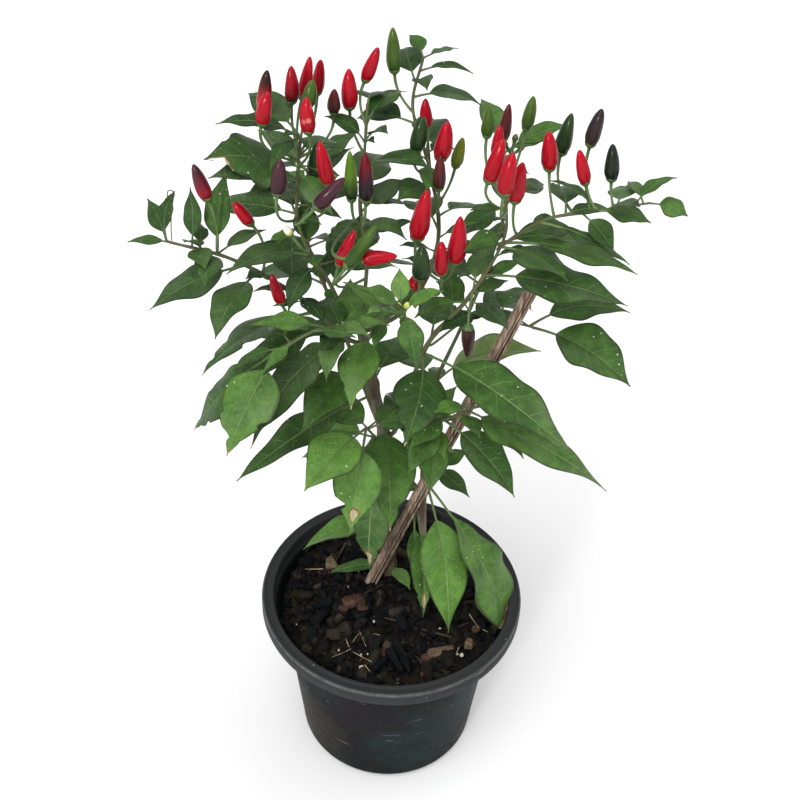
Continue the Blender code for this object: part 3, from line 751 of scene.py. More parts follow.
branches = {
    "main_stem": {"tone": 0.36, "shoots": (trunk, lowLeft, lowRight), "peppers": ()},
    "branch_left": {
        "tone": 0.72,
        "shoots": (
            {
                "thick": (4.5, 2),
                "route": ((-34, 15, 376), (-65, 5, 415), (-105, 0, 445), (-145, -5, 460)),
                "leaves": (
                    (0.3, -140, -3, 89, 36, "tip"),
                    (0.2, -150, -22, 76, 26),
                    (0.62, -110, -8, 60, 28),
                    (0.68, -155, -12, 64, 29),
                    (0.85, -115, 45, 26, 14),
                    (0.9, -65, 5, 30, 16),
                    (0.98, -165, 12, 26, 10),
                    (1, 130, 50, 28, 13),
                    (0.9, 95, 60, 36, 12),
                    (0.8, 80, 60, 50, 20),
                    (1, 85, 45, 32, 12),
                    (0.45, 95, 5, 62, 28),
                    (0.15, 100, -10, 58, 26),
                ),
            },
        ),
        "peppers": (
            ((-119, 0, 488), 180, 72, 23, 9, "maroonBlackTip"),
            ((-95, 5, 469), 180, 54, 17, 8, "red"),
            ((-77, -4, 418), 180, 73, 21, 8, "red"),
        ),
    },
    "branch_upper_left": {
        "tone": 0.7,
        "shoots": (
            {
                "thick": (4, 2),
                "route": ((-34, 12, 390), (-46, 5, 425), (-65, 5, 465), (-67, 15, 495), (-65, 20, 520)),
                "leaves": (
                    (0.5, -145, 10, 58, 26),
                    (0.5, -78, 18, 26, 15),
                    (0.52, 105, 50, 32, 18),
                    (0.45, -120, -25, 36, 16),
                    (0.82, -154, 29, 61, 46, "torn"),
                    (0.76, -145, 30, 63, 26),
                    (0.78, -133, 23, 40, 26),
                    (1, -120, -11, 32, 14),
                    (1, 131, 8, 56, 22),
                    (1, -168, 17, 50, 14),
                    (0.92, 60, -10, 42, 22),
                    (0.66, 120, 0, 62, 28),
                ),
            },
        ),
        "peppers": (
            ((-88, 32, 530), 0, 84, 26, 9, "redBlackTip"),
            ((-72, 40, 533), 0, 87, 22, 9, "redBlackBase"),
            ((-67, 54, 529), 0, 76, 27, 8, "red"),
            ((-62, 30, 535), 0, 77, 17, 9, "green"),
            ((-59, 8, 530), 180, 83, 21, 9, "redSpotted"),
            ((-47, 40, 527), 0, 90, 15, 8, "brown"),
            ((-47, -3, 503), 180, 77, 27, 9, "red"),
            ((-56, 16, 496), 0, 89, 24, 10, "darkGreen"),
            ((-75, -20, 505), 0, 82, 22, 9, "purple"),
            ((-86, 8, 534), 0, 78, 20, 9, "red"),
            ((-59, 68, 526), 0, 85, 22, 8, "red"),
            ((-52, -26, 501), 0, 50, 24, 9, "purple"),
        ),
    },
    "branch_top": {
        "tone": 0.66,
        "shoots": (
            {
                "thick": (4, 2),
                "route": ((-27, 18, 392), (-25, 25, 435), (-30, 30, 470), (-28, 35, 505), (-27, 40, 533)),
                "leaves": (
                    (0.75, -29, 16, 48, 24),
                    (0.55, 25, 32, 36, 18),
                    (0.5, -45, 15, 40, 18),
                    (1, 92, -15, 36, 18),
                    (0.6, 80, 0, 68, 28),
                    (0.35, 110, -8, 64, 28),
                    (0.92, 60, 10, 45, 20),
                ),
            },
        ),
        "peppers": (
            ((-38, 48, 527), 180, 88, 24, 10, "red"),
            ((-29, 52, 543), 0, 69, 22, 8, "red"),
            ((-34, 6, 488), 180, 88, 31, 8, "limeBlackBase"),
            ((-25, -8, 496), 0, 89, 30, 9, "maroonBlackBase"),
            ((-40, -12, 453), 0, 72, 26, 8, "red"),
            ((-34, -34, 467), 0, 57, 32, 8, "green"),
            ((-26, -30, 470), 0, 7, 21, 9, "red"),
        ),
    },
    "branch_upper_right": {
        "tone": 0.68,
        "shoots": (
            {
                "thick": (4, 1.8),
                "route": (
                    (-19, 17, 386),
                    (0, 25, 395),
                    (15, 35, 418),
                    (20, 40, 450),
                    (12, 45, 490),
                    (0, 55, 525),
                    (5, 60, 555),
                ),
                "leaves": (
                    (0.88, 5, -6, 44, 22),
                    (1, 125, 30, 18, 12),
                    (1, 30, 5, 24, 12),
                    (0.96, 0, 5, 32, 10),
                    (0.8, 150, -10, 44, 24),
                    (0.6, -130, 10, 34, 22),
                    (0.5, 40, -12, 44, 22),
                    (0.38, -15, 12, 38, 20),
                    (0.3, -140, 32, 46, 18),
                    (0.7, 85, 0, 60, 26),
                    (0.45, 110, -10, 62, 28),
                    (0.92, 100, 8, 42, 20),
                ),
            },
        ),
        "peppers": (
            ((-12, 62, 545), 180, 85, 27, 9, "green"),
            ((3, 32, 509), 0, 80, 22, 10, "darkGreen"),
            ((18, 30, 505), 0, 81, 25, 11, "red"),
            ((18, 22, 489), 180, 90, 23, 8, "brown"),
            ((28, 44, 493), 0, 81, 19, 8, "lime"),
            ((6, 8, 462), 0, 83, 34, 12, "red"),
            ((30, 8, 446), 0, 84, 33, 12, "red"),
            ((22, 0, 442), 180, 85, 23, 9, "red"),
            ((9, -12, 446), 0, 87, 23, 11, "darkGreen"),
            ((9, 56, 512), 180, 82, 19, 8, "red"),
        ),
    },
    "branch_right": {
        "tone": 0.6,
        "shoots": (
            {
                "thick": (5, 2),
                "route": ((-3, 24, 290), (15, 5, 380), (40, 0, 425), (58, 0, 468), (57, 5, 498)),
                "leaves": (
                    (0.76, -15, -1, 89, 41),
                    (0.44, -98, -17, 72, 35, "tip"),
                    (0.67, -40, -5, 34, 20),
                    (0.66, -160, -6, 34, 22),
                    (0.7, 65, 32, 38, 18),
                    (0.72, 20, 28, 34, 12),
                    (0.6, 95, 14, 42, 18),
                    (0.9, -150, -12, 30, 18),
                    (0.96, -170, 0, 22, 14),
                    (0.98, -45, 38, 28, 12),
                    (0.44, -38, -8, 122, 40),
                    (0.5, 80, -5, 62, 26),
                ),
            },
            {
                "thick": (2.4, 1.6),
                "route": ((19, 5, 383), (48, 12, 406), (66, 18, 396), (85, 20, 390)),
                "leaves": ((0.97, 4, 15, 66, 29), (1, -33, -11, 75, 41), (0.7, 60, -5, 48, 22)),
            },
            {
                "thick": (2.6, 1.6),
                "route": ((56, 0, 463), (80, -5, 486), (107, 0, 490), (143, 5, 495)),
                "leaves": (
                    (0.05, -39, -1, 50, 39),
                    (0.35, -20, -12, 58, 14),
                    (0.1, -5, -9, 82, 23),
                    (0.2, 22, -8, 40, 24),
                    (0.6, -40, -30, 30, 18),
                    (1, -18, -9, 23, 21),
                    (0.9, 30, 26, 32, 13),
                    (0.66, -10, -3, 35, 20),
                    (0.5, 90, -8, 48, 22),
                    (0.8, 75, -5, 40, 18),
                ),
            },
        ),
        "peppers": (
            ((46, 50, 511), 0, 88, 20, 8, "green"),
            ((57, 58, 505), 0, 88, 24, 8, "brown"),
            ((46, 0, 508), 0, 75, 27, 10, "red"),
            ((53, -28, 516), 0, 86, 25, 10, "red"),
            ((61, -13, 503), 0, 88, 25, 10, "red"),
            ((69, 44, 520), 0, 83, 21, 8, "green"),
            ((82, 14, 510), 180, 85, 24, 10, "red"),
            ((91, 38, 508), 0, 84, 26, 10, "darkGreen"),
            ((103, 6, 506), 180, 72, 22, 8, "red"),
            ((106, 27, 520), 0, 83, 23, 9, "black"),
            ((119, 12, 506), 180, 85, 22, 9, "blackGreen"),
            ((41, -6, 407), 0, -87, 25, 9, "plum"),
            ((51, 26, 510), 0, 88, 21, 8, "red"),
        ),
    },
    "branch_low_right": {
        "tone": 0.45,
        "shoots": (
            {
                "thick": (4, 2),
                "route": ((-4, 22, 262), (17, -2, 318), (37, -20, 345), (50, -35, 367)),
                "leaves": (
                    (0.8, -25, -6, 108, 28),
                    (0.9, -38, -12, 48, 24),
                    (0.7, -36, -26, 70, 31),
                    (0.6, -88, -37, 47, 24),
                    (0.86, -68, 5, 28, 14),
                    (0.3, 35, 40, 46, 22),
                ),
            },
        ),
        "peppers": (),
    },
    "branch_front": {
        "tone": 0.3,
        "shoots": (
            {
                "thick": (3, 1.8),
                "route": ((-23, 7, 386), (-11, -20, 420), (0, -50, 450)),
                "leaves": (
                    (0.3, -104, -19, 58, 28, "tip"),
                    (0.99, -174, 33, 29, 17),
                    (0.96, -137, 19, 29, 15),
                    (0.98, -75, -25, 38, 16),
                    (0.94, 0, 32, 28, 14),
                    (0.92, 95, 40, 26, 12),
                ),
            },
        ),
        "peppers": (),
    },
    "branch_front_left": {
        "tone": 0.48,
        "shoots": (
            {
                "thick": (3.5, 2),
                "route": ((-20, 13, 330), (-33, -20, 398), (-46, -45, 430), (-72, -60, 424)),
                "leaves": (
                    (1, -174, -48, 83, 34, "singed"),
                    (0.66, -96, 9, 55, 17),
                    (1, -117, -34, 70, 38, "tip"),
                    (0.62, -125, -18, 93, 29, "tip"),
                    (0.1, -140, -10, 110, 26),
                    (0.35, -120, -3, 65, 32),
                    (0.62, -150, -25, 46, 24),
                ),
            },
        ),
        "peppers": (),
    },
    "branch_back_left": {
        "tone": 0.62,
        "shoots": (
            {
                "thick": (4.5, 2),
                "route": ((-18, 32, 300), (-45, 65, 355), (-70, 90, 410), (-68, 98, 462)),
                "leaves": (
                    (0.35, 170, -10, 74, 30),
                    (0.35, 60, -10, 72, 30),
                    (0.55, 140, -20, 80, 32),
                    (0.62, 15, -5, 60, 26),
                    (0.8, 170, 0, 70, 28),
                    (0.85, 75, -10, 66, 28),
                    (0.99, 30, 25, 42, 18),
                    (0.96, 140, 20, 50, 22),
                    (0.93, -120, 25, 34, 16),
                ),
            },
        ),
        "peppers": (),
    },
    "branch_back_right": {
        "tone": 0.62,
        "shoots": (
            {
                "thick": (4.5, 2),
                "route": ((-2, 34, 250), (30, 65, 320), (56, 88, 385), (66, 92, 440), (61, 87, 481)),
                "leaves": (
                    (0.3, -11, 32, 85, 34, "pale"),
                    (0.3, 110, -15, 78, 32),
                    (0.5, 45, -20, 82, 32),
                    (0.6, 130, -8, 62, 26),
                    (0.72, 0, 5, 62, 26),
                    (0.8, 80, -5, 70, 28),
                    (1, 20, 20, 46, 18),
                    (1, 110, 22, 48, 20),
                    (0.95, -95, 28, 32, 14),
                ),
            },
        ),
        "peppers": (),
    },
}

leafMaterial = leafLook()
stemMaterial = stemLook()
stalkMaterial = stalkLook()
pepperMaterials = {name: pepperLook(name) for name in pepperSkins}


shootForm = {
    "slim": 0.74,  # side shoots are drawn this much thinner
    "sides": {"trunk": 20, "first": 12, "later": 12},
    # how woody a shoot is at its foot and at its tip
    "woody": {"trunk": (1.0, 0.62), "first": (0.62, 0.18), "later": (0.4, 0.18)},
    "swell": 0.3,
    "knobbly": 0.08,
    "ridge": 0.06,
}


# the wood of a shoot, swollen where its leaves leave it
def addShoot(stems, shoot, route, kind):
    form = shootForm
    slim = 1 if shoot is trunk else form["slim"]
    thick, thin = (value * slim * mm for value in shoot["thick"])
    nodes = [row[0] for row in shoot["leaves"]]
    count = len(route)

    def swollen(share):
        return max([math.exp(-(((share - node) * count / 2.2) ** 2)) for node in nodes] or [0])

    radii = []
    for index in range(count):
        share = index / (count - 1)
        knobbly = 1 + form["knobbly"] * noise.noise(route[index] * 90)
        radius = (thick + (thin - thick) * share) / 2
        radii.append(radius * (1 + form["swell"] * swollen(share)) * knobbly)
    first, last = form["woody"][kind]

    def ridged(angle, share):
        return 1 + form["ridge"] * math.cos(4 * angle + share * 5) * (1 - share * 0.6), 0

    def values(share):
        return {"stemWood": first + (last - first) * share, "stemNode": 0.85 * swollen(share)}

    sweep(stems, route, radii, form["sides"][kind], values, ridged)


# Smaller leaves between the named ones, more of them towards each shoot's tip: how many, where
# they start along the shoot, and the shortest and longest.
fill = {
    "main_stem": (12, 0.4, 34, 58),
    "branch_left": (8, 0.12, 18, 40),
    "branch_upper_left": (9, 0.1, 18, 42),
    "branch_top": (9, 0.1, 18, 44),
    "branch_upper_right": (8, 0.1, 16, 36),
    "branch_right": (13, 0.2, 18, 40),
    "branch_low_right": (10, 0.3, 24, 52),
    "branch_front": (8, 0.3, 18, 40),
    "branch_front_left": (12, 0.3, 20, 46),
    "branch_back_left": (13, 0.25, 20, 52),
    "branch_back_right": (11, 0.2, 20, 50),
}
goldenTurn = 137.5  # degrees from each leaf round to the next


def fillLeaves(name, routes, chance):
    count, first, shortest, longest = fill[name]
    heading = chance.uniform(0, 360)
    for index in range(count):
        heading += goldenTurn + chance.uniform(-25, 25)
        length = chance.uniform(shortest, longest)
        share = first + (1 - first) * chance.random() ** 0.8
        row = (share, heading, chance.uniform(-22, 34), length, length * chance.uniform(0.36, 0.48))
        yield row, routes[index % len(routes)]


# Flower buds, dried flowers and a set fruit, in the same form as the peppers.
buds = {
    "branch_upper_left": (((-68, -20, 478), 180, 57, 7, 5, "whiteBud"),),
    "branch_front": (
        ((1, -51, 451), 0, 80, 4.4, 3.8, "greenBud"),
        ((-2, -48, 449), 150, 60, 3.6, 2.8, "greenBud"),
    ),
    "branch_right": (
        ((58, 45, 507), 180, 55, 4.6, 4, "dryBud"),
        ((63, 47, 510), 60, 70, 4.2, 4, "dryBud"),
        ((66, 43, 506), 0, 40, 4.4, 3.6, "dryBud"),
        ((60, 40, 502), 250, 35, 4, 3.8, "dryBud"),
    ),
    "branch_upper_right": (((4, -6, 434), 30, 50, 13, 9, "red"),),
}
# the thread left where a flower fell, curled at its tip
thread = {
    "radius": 0.35,
    "route": (
        *((-142, -4, 460), (-142, -1, 471), (-140, 0, 484)),
        *((-138.5, 0, 491), (-142, 0, 492), (-143, 0, 487)),
    ),
}
# how far a leaf's tone strays, and how much lighter the shortest leaves are
leafTones = {"named": (-0.28, 0.2, 0.25), "fill": (-0.3, 0.26, 0.3)}
youngLength = 34


def growLeaf(kind, branch, leaves, stems, route, row, chance):
    low, high, lighter = leafTones[kind]
    young = lighter * max(0, youngLength - row[3]) / youngLength
    tone = branch["tone"] + chance.uniform(low, high) - young
    addLeaf(leaves, stems, placeAlong(route, row[0]), row, tone, chance)


trunkRoute = smoothRoute(metres(trunk["route"]))


# a branch as its pieces: the wood, the leaves, the peppers and buds, and their stalks
def growBranch(name, branch, chance):
    stems, leaves, stalks = bmesh.new(), bmesh.new(), bmesh.new()
    routes = []
    for number, shoot in enumerate(branch["shoots"]):
        points = metres(shoot["route"])
        if shoot is not trunk:
            points.insert(0, nearestPlace(routes or [trunkRoute], points[0]))
        route = smoothRoute(points)
        routes.append(route)
        kind = "trunk" if shoot is trunk else "later" if number else "first"
        addShoot(stems, shoot, route, kind)
        for row in shoot["leaves"]:
            growLeaf("named", branch, leaves, stems, route, row, chance)
    for row, route in fillLeaves(name, routes, chance):
        growLeaf("fill", branch, leaves, stems, route, row, chance)
    if name == "branch_left":
        points = smoothRoute(metres(thread["route"]), 0.0015)
        radii = [thread["radius"] * mm] * len(points)
        sweep(stems, points, radii, 8, lambda share: {"stemWood": 0.3, "stemNode": 0.9})
    short = name.replace("branch_", "")
    newPiece(f"stems_{short}", stems, stemMaterial, "foliage", (name,))
    newPiece(f"leaves_{short}", leaves, leafMaterial, "foliage")
    for number, row in enumerate(branch["peppers"], 1):
        addStalk(stalks, routes, row)
        chilli = addPepper(f"chilli_{short}_{number}", row, chance)
        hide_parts(f"pepper_{short}_{number}")
    for number, row in enumerate(buds.get(name, ()), 1):
        addStalk(stalks, routes, row)
        addPepper(f"bud_{short}_{number}", row, chance)
    if branch["peppers"] or name in buds:
        newPiece(f"calyxes_{short}", stalks, stalkMaterial, "foliage")
    else:
        stalks.free()


firstSeed = 7
for seed, (name, branch) in enumerate(branches.items(), firstSeed):
    growBranch(name, branch, random.Random(seed))
    print(f"{name} is built")


# Pot: (radius, height) in millimetres, up the outside from the rounded foot and down the inside.
pot = {
    "foot": 62,
    "floor": 2,
    "outside": (
        (82, 124),
        (82.6, 124.6),
        (82.6, 127),
        (84.6, 127.6),
        (85.4, 128.6),
        (86.6, 129.2),
        (86.9, 130.6),
        (88.6, 132.8),
        (89.8, 133.4),
        (90.1, 134.8),
        (93, 138.6),
        (93, 146.6),
        (97.8, 146.6),
        (97.8, 138),
        (99.6, 138),
        (100, 139.5),
        (100, 147.5),
        (99, 149.6),
        (97.4, 149.9),
        (96.6, 149.3),
        (94, 149.3),
        (93.2, 149.9),
        (91.6, 150),
        (90.8, 149.2),
    ),
    "inside": ((90.6, 140), (80, 125)),
    "corner": 8,
    "segments": 144,
    "dent": 0.0007,
    "dentScale": 14,
    "holes": (6, 4.5, 46),  # how many, radius and circle
    "soften": 0.0004,
}


# the foot's rounded corner, on the outside or inset by the floor's thickness
def roundCorner(inset, steps=6):
    points = []
    size = pot["corner"] - inset
    for step in range(steps + 1):
        turn = math.pi / 2 * step / steps
        points.append((pot["foot"] + size * math.sin(turn), pot["corner"] - size * math.cos(turn)))
    return points


potPaint = {
    "plastic": (0.003, 0.0031, 0.0038),
    # painted light: the collar and rim are the same plastic, painted lighter than the wall
    "rim": (0.036, 0.0365, 0.038),
    # scuffs and a painted highlight along the rim's rounded outer edge
    "wearAndHighlight": (0.15, 0.15, 0.15),
    "haze": (0.0095, 0.0195, 0.0205),
    "chalk": (0.04, 0.047, 0.049),
    "plum": (0.0085, 0.0055, 0.0105),
    "soil": (0.014, 0.0115, 0.0075),
    "scratch": (0.3, 0.3, 0.3),
    "roughness": 0.5,
}
# patches of the wall: middle, size and colour
potPatches = (
    ((0.03, -0.07, 0.055), 0.05, "haze"),
    ((0.07, -0.03, 0.08), 0.04, "haze"),
    ((-0.02, -0.08, 0.098), 0.036, "plum"),
    ((-0.06, -0.045, 0.04), 0.04, "soil"),
    ((0.06, 0.05, 0.06), 0.06, "haze"),
    ((-0.05, 0.06, 0.07), 0.06, "soil"),
)


def potLook():
    paint = potPaint
    look = Look("potPlastic", {"Specular IOR Level": 0.06})
    height = look.node("ShaderNodeSeparateXYZ", {}, {"Vector": look.place}, "Z")
    level = look.node("ShaderNodeVectorMath", {"operation": "MULTIPLY"}, {0: look.place, 1: (1, 1, 0)})
    radius = look.node("ShaderNodeVectorMath", {"operation": "LENGTH"}, {0: level}, "Value")
    cloud = look.noise(17, 6, 0.65, distortion=1.0)
    smear = look.noise(38, 5, 0.62, distortion=2.6)
    fine = look.noise(520, 3)
    wall = 1 - height.step(0.124, 0.128)
    # hazy patches and drifts of chalk
    colour = look.mix(cloud.step(0.46, 0.7) * 0.55, paint["plastic"], paint["haze"])
    for spot, size, name in potPatches:
        colour = look.mix(look.near(spot, size, cloud) * smear.step(0.36, 0.58) * 0.9, colour, paint[name])
    chalk = smear.step(0.55, 0.74) * cloud.step(0.4, 0.58) * wall
    colour = look.mix(chalk * 0.5, colour, paint["chalk"])
    marks = (1 - abs(smear - 0.46).step(0.0, 0.011)) * look.noise(26, 2).step(0.5, 0.62) * wall
    colour = look.mix(marks * 0.55, colour, paint["chalk"])
    # painted light: the collar and rim above the wall are painted lighter, for the light they catch
    colour = look.mix(height.step(0.137, 0.1395) * 0.85, colour, paint["rim"])
    # scuffs and a painted highlight: a pale band on the rim's rounded outer edge
    edge = radius.step(0.0982, 0.0999) * height.step(0.1466, 0.1488)
    edge = edge * (0.3 + smear.step(0.35, 0.6) * 0.7)
    colour = look.mix(edge * 0.8, colour, paint["wearAndHighlight"])
    # fine scratches in two directions, and pale dust
    lines = 0
    for turn, stretch in (((0.2, 0.9, 0.4), 15), ((1.1, 0.2, 0.8), 22)):
        thin = look.noise(30, 2, 0.5, look.moved(turn, turn, (1, 1, stretch)))
        lines = thin.step(0.715, 0.735) * look.noise(24, 1, vector=look.moved(turn)).step(0.52, 0.6) + lines
    dust = 1 - look.cells(115).step(0.03, 0.075)
    dust = dust * look.noise(24, 1, vector=look.moved((5, 2, 3))).step(0.56, 0.62)
    colour = look.mix((lines * 0.75).over(dust), colour, paint["scratch"])
    relief = fine * 0.3 + smear * 0.5 - lines
    rough = paint["roughness"] + (smear - 0.5) * 0.4 + chalk * 0.2 + (cloud - 0.5) * 0.2
    return look.finish(colour, rough, look.bump(relief, 0.4, 0.0006))


def makePot():
    outside = [(0, 0), *roundCorner(0), *pot["outside"]]
    inside = [*pot["inside"], *reversed(roundCorner(pot["floor"])), (0, pot["floor"])]
    profile = [(radius * mm, height * mm) for radius, height in outside + inside]
    bm = turnProfile(profile, pot["segments"], 0.00002, 0.05)
    # the wall is a little uneven, less so near the floor and the rim
    for vert in bm.verts:
        radius = math.hypot(vert.co.x, vert.co.y)
        if radius > 0.05:
            share = min(1, vert.co.z / 0.03) * min(1, max(0, 0.15 - vert.co.z) / 0.03)
            spot = Vector((vert.co.x, vert.co.y, vert.co.z * 0.6)) * pot["dentScale"]
            dent = noise.noise(spot) * pot["dent"] * share
            vert.co.x *= 1 + dent / radius
            vert.co.y *= 1 + dent / radius
    piece = newPiece("pot_shell", bm, potLook(), "pot_plastic", ("pot",), 35)
    count, radius, circle = pot["holes"]
    cutter = bmesh.new()
    for index in range(count):
        turnBy = 2 * math.pi * (index + 0.5) / count
        spot = Matrix.Translation(Vector((math.cos(turnBy), math.sin(turnBy), 0)) * circle * mm)
        size = {"segments": 24, "radius1": radius * mm, "radius2": radius * mm, "depth": 0.02}
        bmesh.ops.create_cone(cutter, cap_ends=True, matrix=spot, **size)
    holes = bpy.data.meshes.new("holes")
    cutter.to_mesh(holes)
    cutter.free()
    holesObject = bpy.data.objects.new("holes", holes)
    bpy.context.scene.collection.objects.link(holesObject)
    cut = piece.modifiers.new("holes", "BOOLEAN")
    cut.operation = "DIFFERENCE"
    cut.object = holesObject
    graph = bpy.context.evaluated_depsgraph_get()
    made = bpy.data.meshes.new_from_object(piece.evaluated_get(graph))
    piece.modifiers.clear()
    piece.data = made
    bpy.data.objects.remove(holesObject)
    soften = piece.modifiers.new("soften", "BEVEL")
    soften.width = pot["soften"]
    soften.segments = 2
    soften.limit_method = "ANGLE"
    soften.angle_limit = math.radians(30)


makePot()
print("the pot is built")

# Potting mix: a bed with an uneven top, bark chips, crumbs, fibres and grit on it.
mix = {
    "height": 131.5,
    "rough": 2.2,
    "bedDepth": 25,
    "bedTone": 0.3,
    "rings": 34,
    "segments": 96,
    "chips": 760,
    "crumbs": 1100,
    "fibres": 15,
    "grit": 26,
    "twigs": 9,
    "reach": 83,  # how far from the middle the loose bits lie
    # the pot's inner wall at the mix: its radius at a height, and how fast it widens
    "wall": (79.8, 125, 0.7),
}

# chips given one by one: place, length, width, thickness, heading and tone
namedChips = (
    ((-50, 35, 136), 11, 9, 6, 110, 0.93),
    ((-46, 30, 135), 8, 6, 5, 20, 0.8),
    ((-30, -2, 135), 15, 12, 7, 30, 0.8),
    ((-22, -6, 134.5), 12, 9, 6, 100, 0.78),
    ((-38, -8, 134), 11, 8, 5, 160, 0.76),
    ((40, -48, 135.5), 23, 8, 7, 28, 0.94),
    ((31, -53, 134.5), 13, 8, 5, 20, 0.86),
    ((60, -39, 136), 8, 7, 6, 80, 0.9),
    ((66, -25, 136), 7, 6, 5, 30, 0.84),
    ((4, -58, 136), 22, 7, 6, -62, 0.0),
    ((13, -62, 136), 17, 7, 6, -70, 0.02),
    ((-6, -63, 136), 15, 7, 6, 40, 0.0),
    ((-54, -20, 136), 19, 9, 7, 50, 0.0),
    ((22, 52, 135), 16, 9, 5, 140, 0.75),
    ((44, 38, 135), 18, 10, 6, 30, 0.66),
    ((-10, 64, 135), 14, 10, 5, 80, 0.7),
)


def bedHeight(x, y):
    spot = Vector((x, y, 0))
    hills = noise.noise(spot * 28) * 0.7 + noise.noise(spot * 90 + Vector((5, 0, 0))) * 0.3
    return (mix["height"] + mix["rough"] * hills) * mm


def innerRadius(height):
    radius, level, flare = mix["wall"]
    return radius * mm + (height - level * mm) * flare


mixPaint = {
    "black": (0.007, 0.008, 0.0095),
    "dark": (0.017, 0.014, 0.011),
    "brown": (0.054, 0.046, 0.035),
    "rust": (0.075, 0.034, 0.027),
    "tan": (0.2, 0.155, 0.095),
}


def mixLook(name, spread, roughness, bumpDepth):
    look = Look(name, {"Specular IOR Level": 0.04})
    tone = look.attribute("chipTone")
    grain = look.noise(330, 4, 0.6)
    coarse = look.noise(90, 3)
    shade = tone + (grain - 0.5) * spread + (coarse - 0.5) * spread
    names = ("black", "dark", "brown", "rust", "tan")
    stops = [(place, mixPaint[colour]) for place, colour in zip((0.05, 0.35, 0.62, 0.82, 1.0), names)]
    colour = look.ramp(shade, *stops)
    normal = look.bump(grain + coarse, 0.8, bumpDepth)
    return look.finish(colour, roughness + (grain - 0.5) * 0.3, normal)


bedMaterial = mixLook("mixBed", 0.5, 0.85, 0.0012)
chipMaterial = mixLook("barkChip", 0.35, 0.66, 0.0008)


def makeBed():
    edge = innerRadius(mix["height"] * mm)
    floor = (mix["height"] - mix["bedDepth"]) * mm
    radii = [edge * (step / mix["rings"]) for step in range(mix["rings"] + 1)]
    # the top is turned at a height of 1, which marks the places that take the bed's own height
    profile = [(radius, 1) for radius in radii] + [(edge * 0.9, floor), (0, floor)]
    bm = turnProfile(profile, mix["segments"], 0.00002)
    tone = floatLayer(bm, "chipTone")
    for vert in bm.verts:
        vert[tone] = mix["bedTone"]
        if vert.co.z > 0.5:
            vert.co.z = bedHeight(vert.co.x, vert.co.y)
    newPiece("mix_bed", bm, bedMaterial, "potting_mix", ("potting_mix",), 60)


# a rough block turned flat on the bed, for bark
def addChip(bm, place, size, turn, tone, chance, tilt=0.45):
    layer = floatLayer(bm, "chipTone")
    corners = bmesh.ops.create_cube(bm, size=1)["verts"]
    edges = list({edge for vert in corners for edge in vert.link_edges})
    shape = {"affect": "EDGES", "segments": 1, "profile": 0.5, "material": -1}
    made = bmesh.ops.bevel(bm, geom=edges, offset=chance.uniform(0.1, 0.24), **shape)["verts"]
    lean = Matrix.Rotation(chance.uniform(-tilt, tilt), 4, "X")
    lean = lean @ Matrix.Rotation(chance.uniform(-tilt, tilt), 4, "Y")
    put = Matrix.Translation(place) @ Matrix.Rotation(turn, 4, "Z") @ lean
    taper = chance.uniform(0.5, 1)
    for vert in made:
        spot = vert.co + Vector(chance.uniform(-0.1, 0.1) for _ in range(3))
        spot.y *= taper if spot.x > 0 else 1
        spot.z += 0.25 * spot.x * spot.x
        vert.co = put @ Vector(a * b for a, b in zip(spot, size))
        vert[layer] = tone


# a random place on the bed
def onBed(chance, reach):
    radius = reach * math.sqrt(chance.random())
    turn = chance.uniform(0, 2 * math.pi)
    return radius * math.cos(turn) * mm, radius * math.sin(turn) * mm


# a matrix that sets a round bit down, turned at random about one axis
def laid(place, axis, size, chance):
    turn = Matrix.Rotation(chance.uniform(*anyTurn), 4, axis)
    return Matrix.Translation(place) @ turn @ Matrix.Diagonal((*size, 1))


def makeChips():
    chance = random.Random(21)
    bm = bmesh.new()
    for index in range(mix["chips"]):
        x, y = onBed(chance, mix["reach"])
        long = (chance.uniform(3.5, 9) if index % 5 else chance.uniform(9, 16)) * mm
        size = (long, long * chance.uniform(0.4, 0.8), long * chance.uniform(0.25, 0.6))
        lift = chance.uniform(0, 3.6) * mm
        place = Vector((x, y, bedHeight(x, y) + lift))
        tone = min(0.9, abs(chance.gauss(0.08, 0.26)))
        addChip(bm, place, size, chance.uniform(*anyTurn), tone, chance, 0.75)
    for spot, long, wide, thick, heading, tone in namedChips:
        size = (long * mm, wide * mm, thick * mm)
        addChip(bm, Vector(spot) * mm, size, math.radians(heading), tone, chance, 0.15)
    for index in range(mix["twigs"]):
        x, y = onBed(chance, mix["reach"] * 0.85)
        size = (chance.uniform(14, 26) * mm, chance.uniform(1.2, 2.4) * mm, chance.uniform(1, 2) * mm)
        place = Vector((x, y, bedHeight(x, y) + 0.004))
        addChip(bm, place, size, chance.uniform(*anyTurn), chance.uniform(0.4, 0.75), chance, 0.2)
    newPiece("bark_chips", bm, chipMaterial, "potting_mix", sharp=32)


def makeCrumbs():
    chance = random.Random(22)
    bm = bmesh.new()
    layer = floatLayer(bm, "chipTone")
    for index in range(mix["crumbs"]):
        x, y = onBed(chance, mix["reach"] + 1)
        size = Vector(chance.uniform(0.5, 1.9) * mm for _ in range(3))
        place = Vector((x, y, bedHeight(x, y) + chance.uniform(0.2, 2.5) * mm))
        put = laid(place, "Z", size, chance)
        tone = min(0.9, abs(chance.gauss(0.2, 0.24)))
        for vert in bmesh.ops.create_icosphere(bm, subdivisions=1, radius=1, matrix=put)["verts"]:
            vert[layer] = tone
    newPiece("mix_crumbs", bm, bedMaterial, "potting_mix", sharp=30)


strawPaint = {"pale": (0.52, 0.43, 0.25), "dark": (0.2, 0.14, 0.07), "grit": (0.62, 0.6, 0.5)}


def strawLook():
    look = Look("strawFibre", {})
    streak = look.noise(300, 3)
    colour = look.mix(streak.step(0.4, 0.65), strawPaint["pale"], strawPaint["dark"])
    return look.finish(colour, 0.7 + streak * 0.1)


def gritLook():
    look = Look("perliteGrit", {})
    pits = look.noise(900, 3)
    colour = look.mix(pits.step(0.4, 0.7) * 0.5, strawPaint["grit"], strawPaint["pale"])
    return look.finish(colour, 0.85 + (pits - 0.5) * 0.1, look.bump(pits, 0.7, 0.0003))


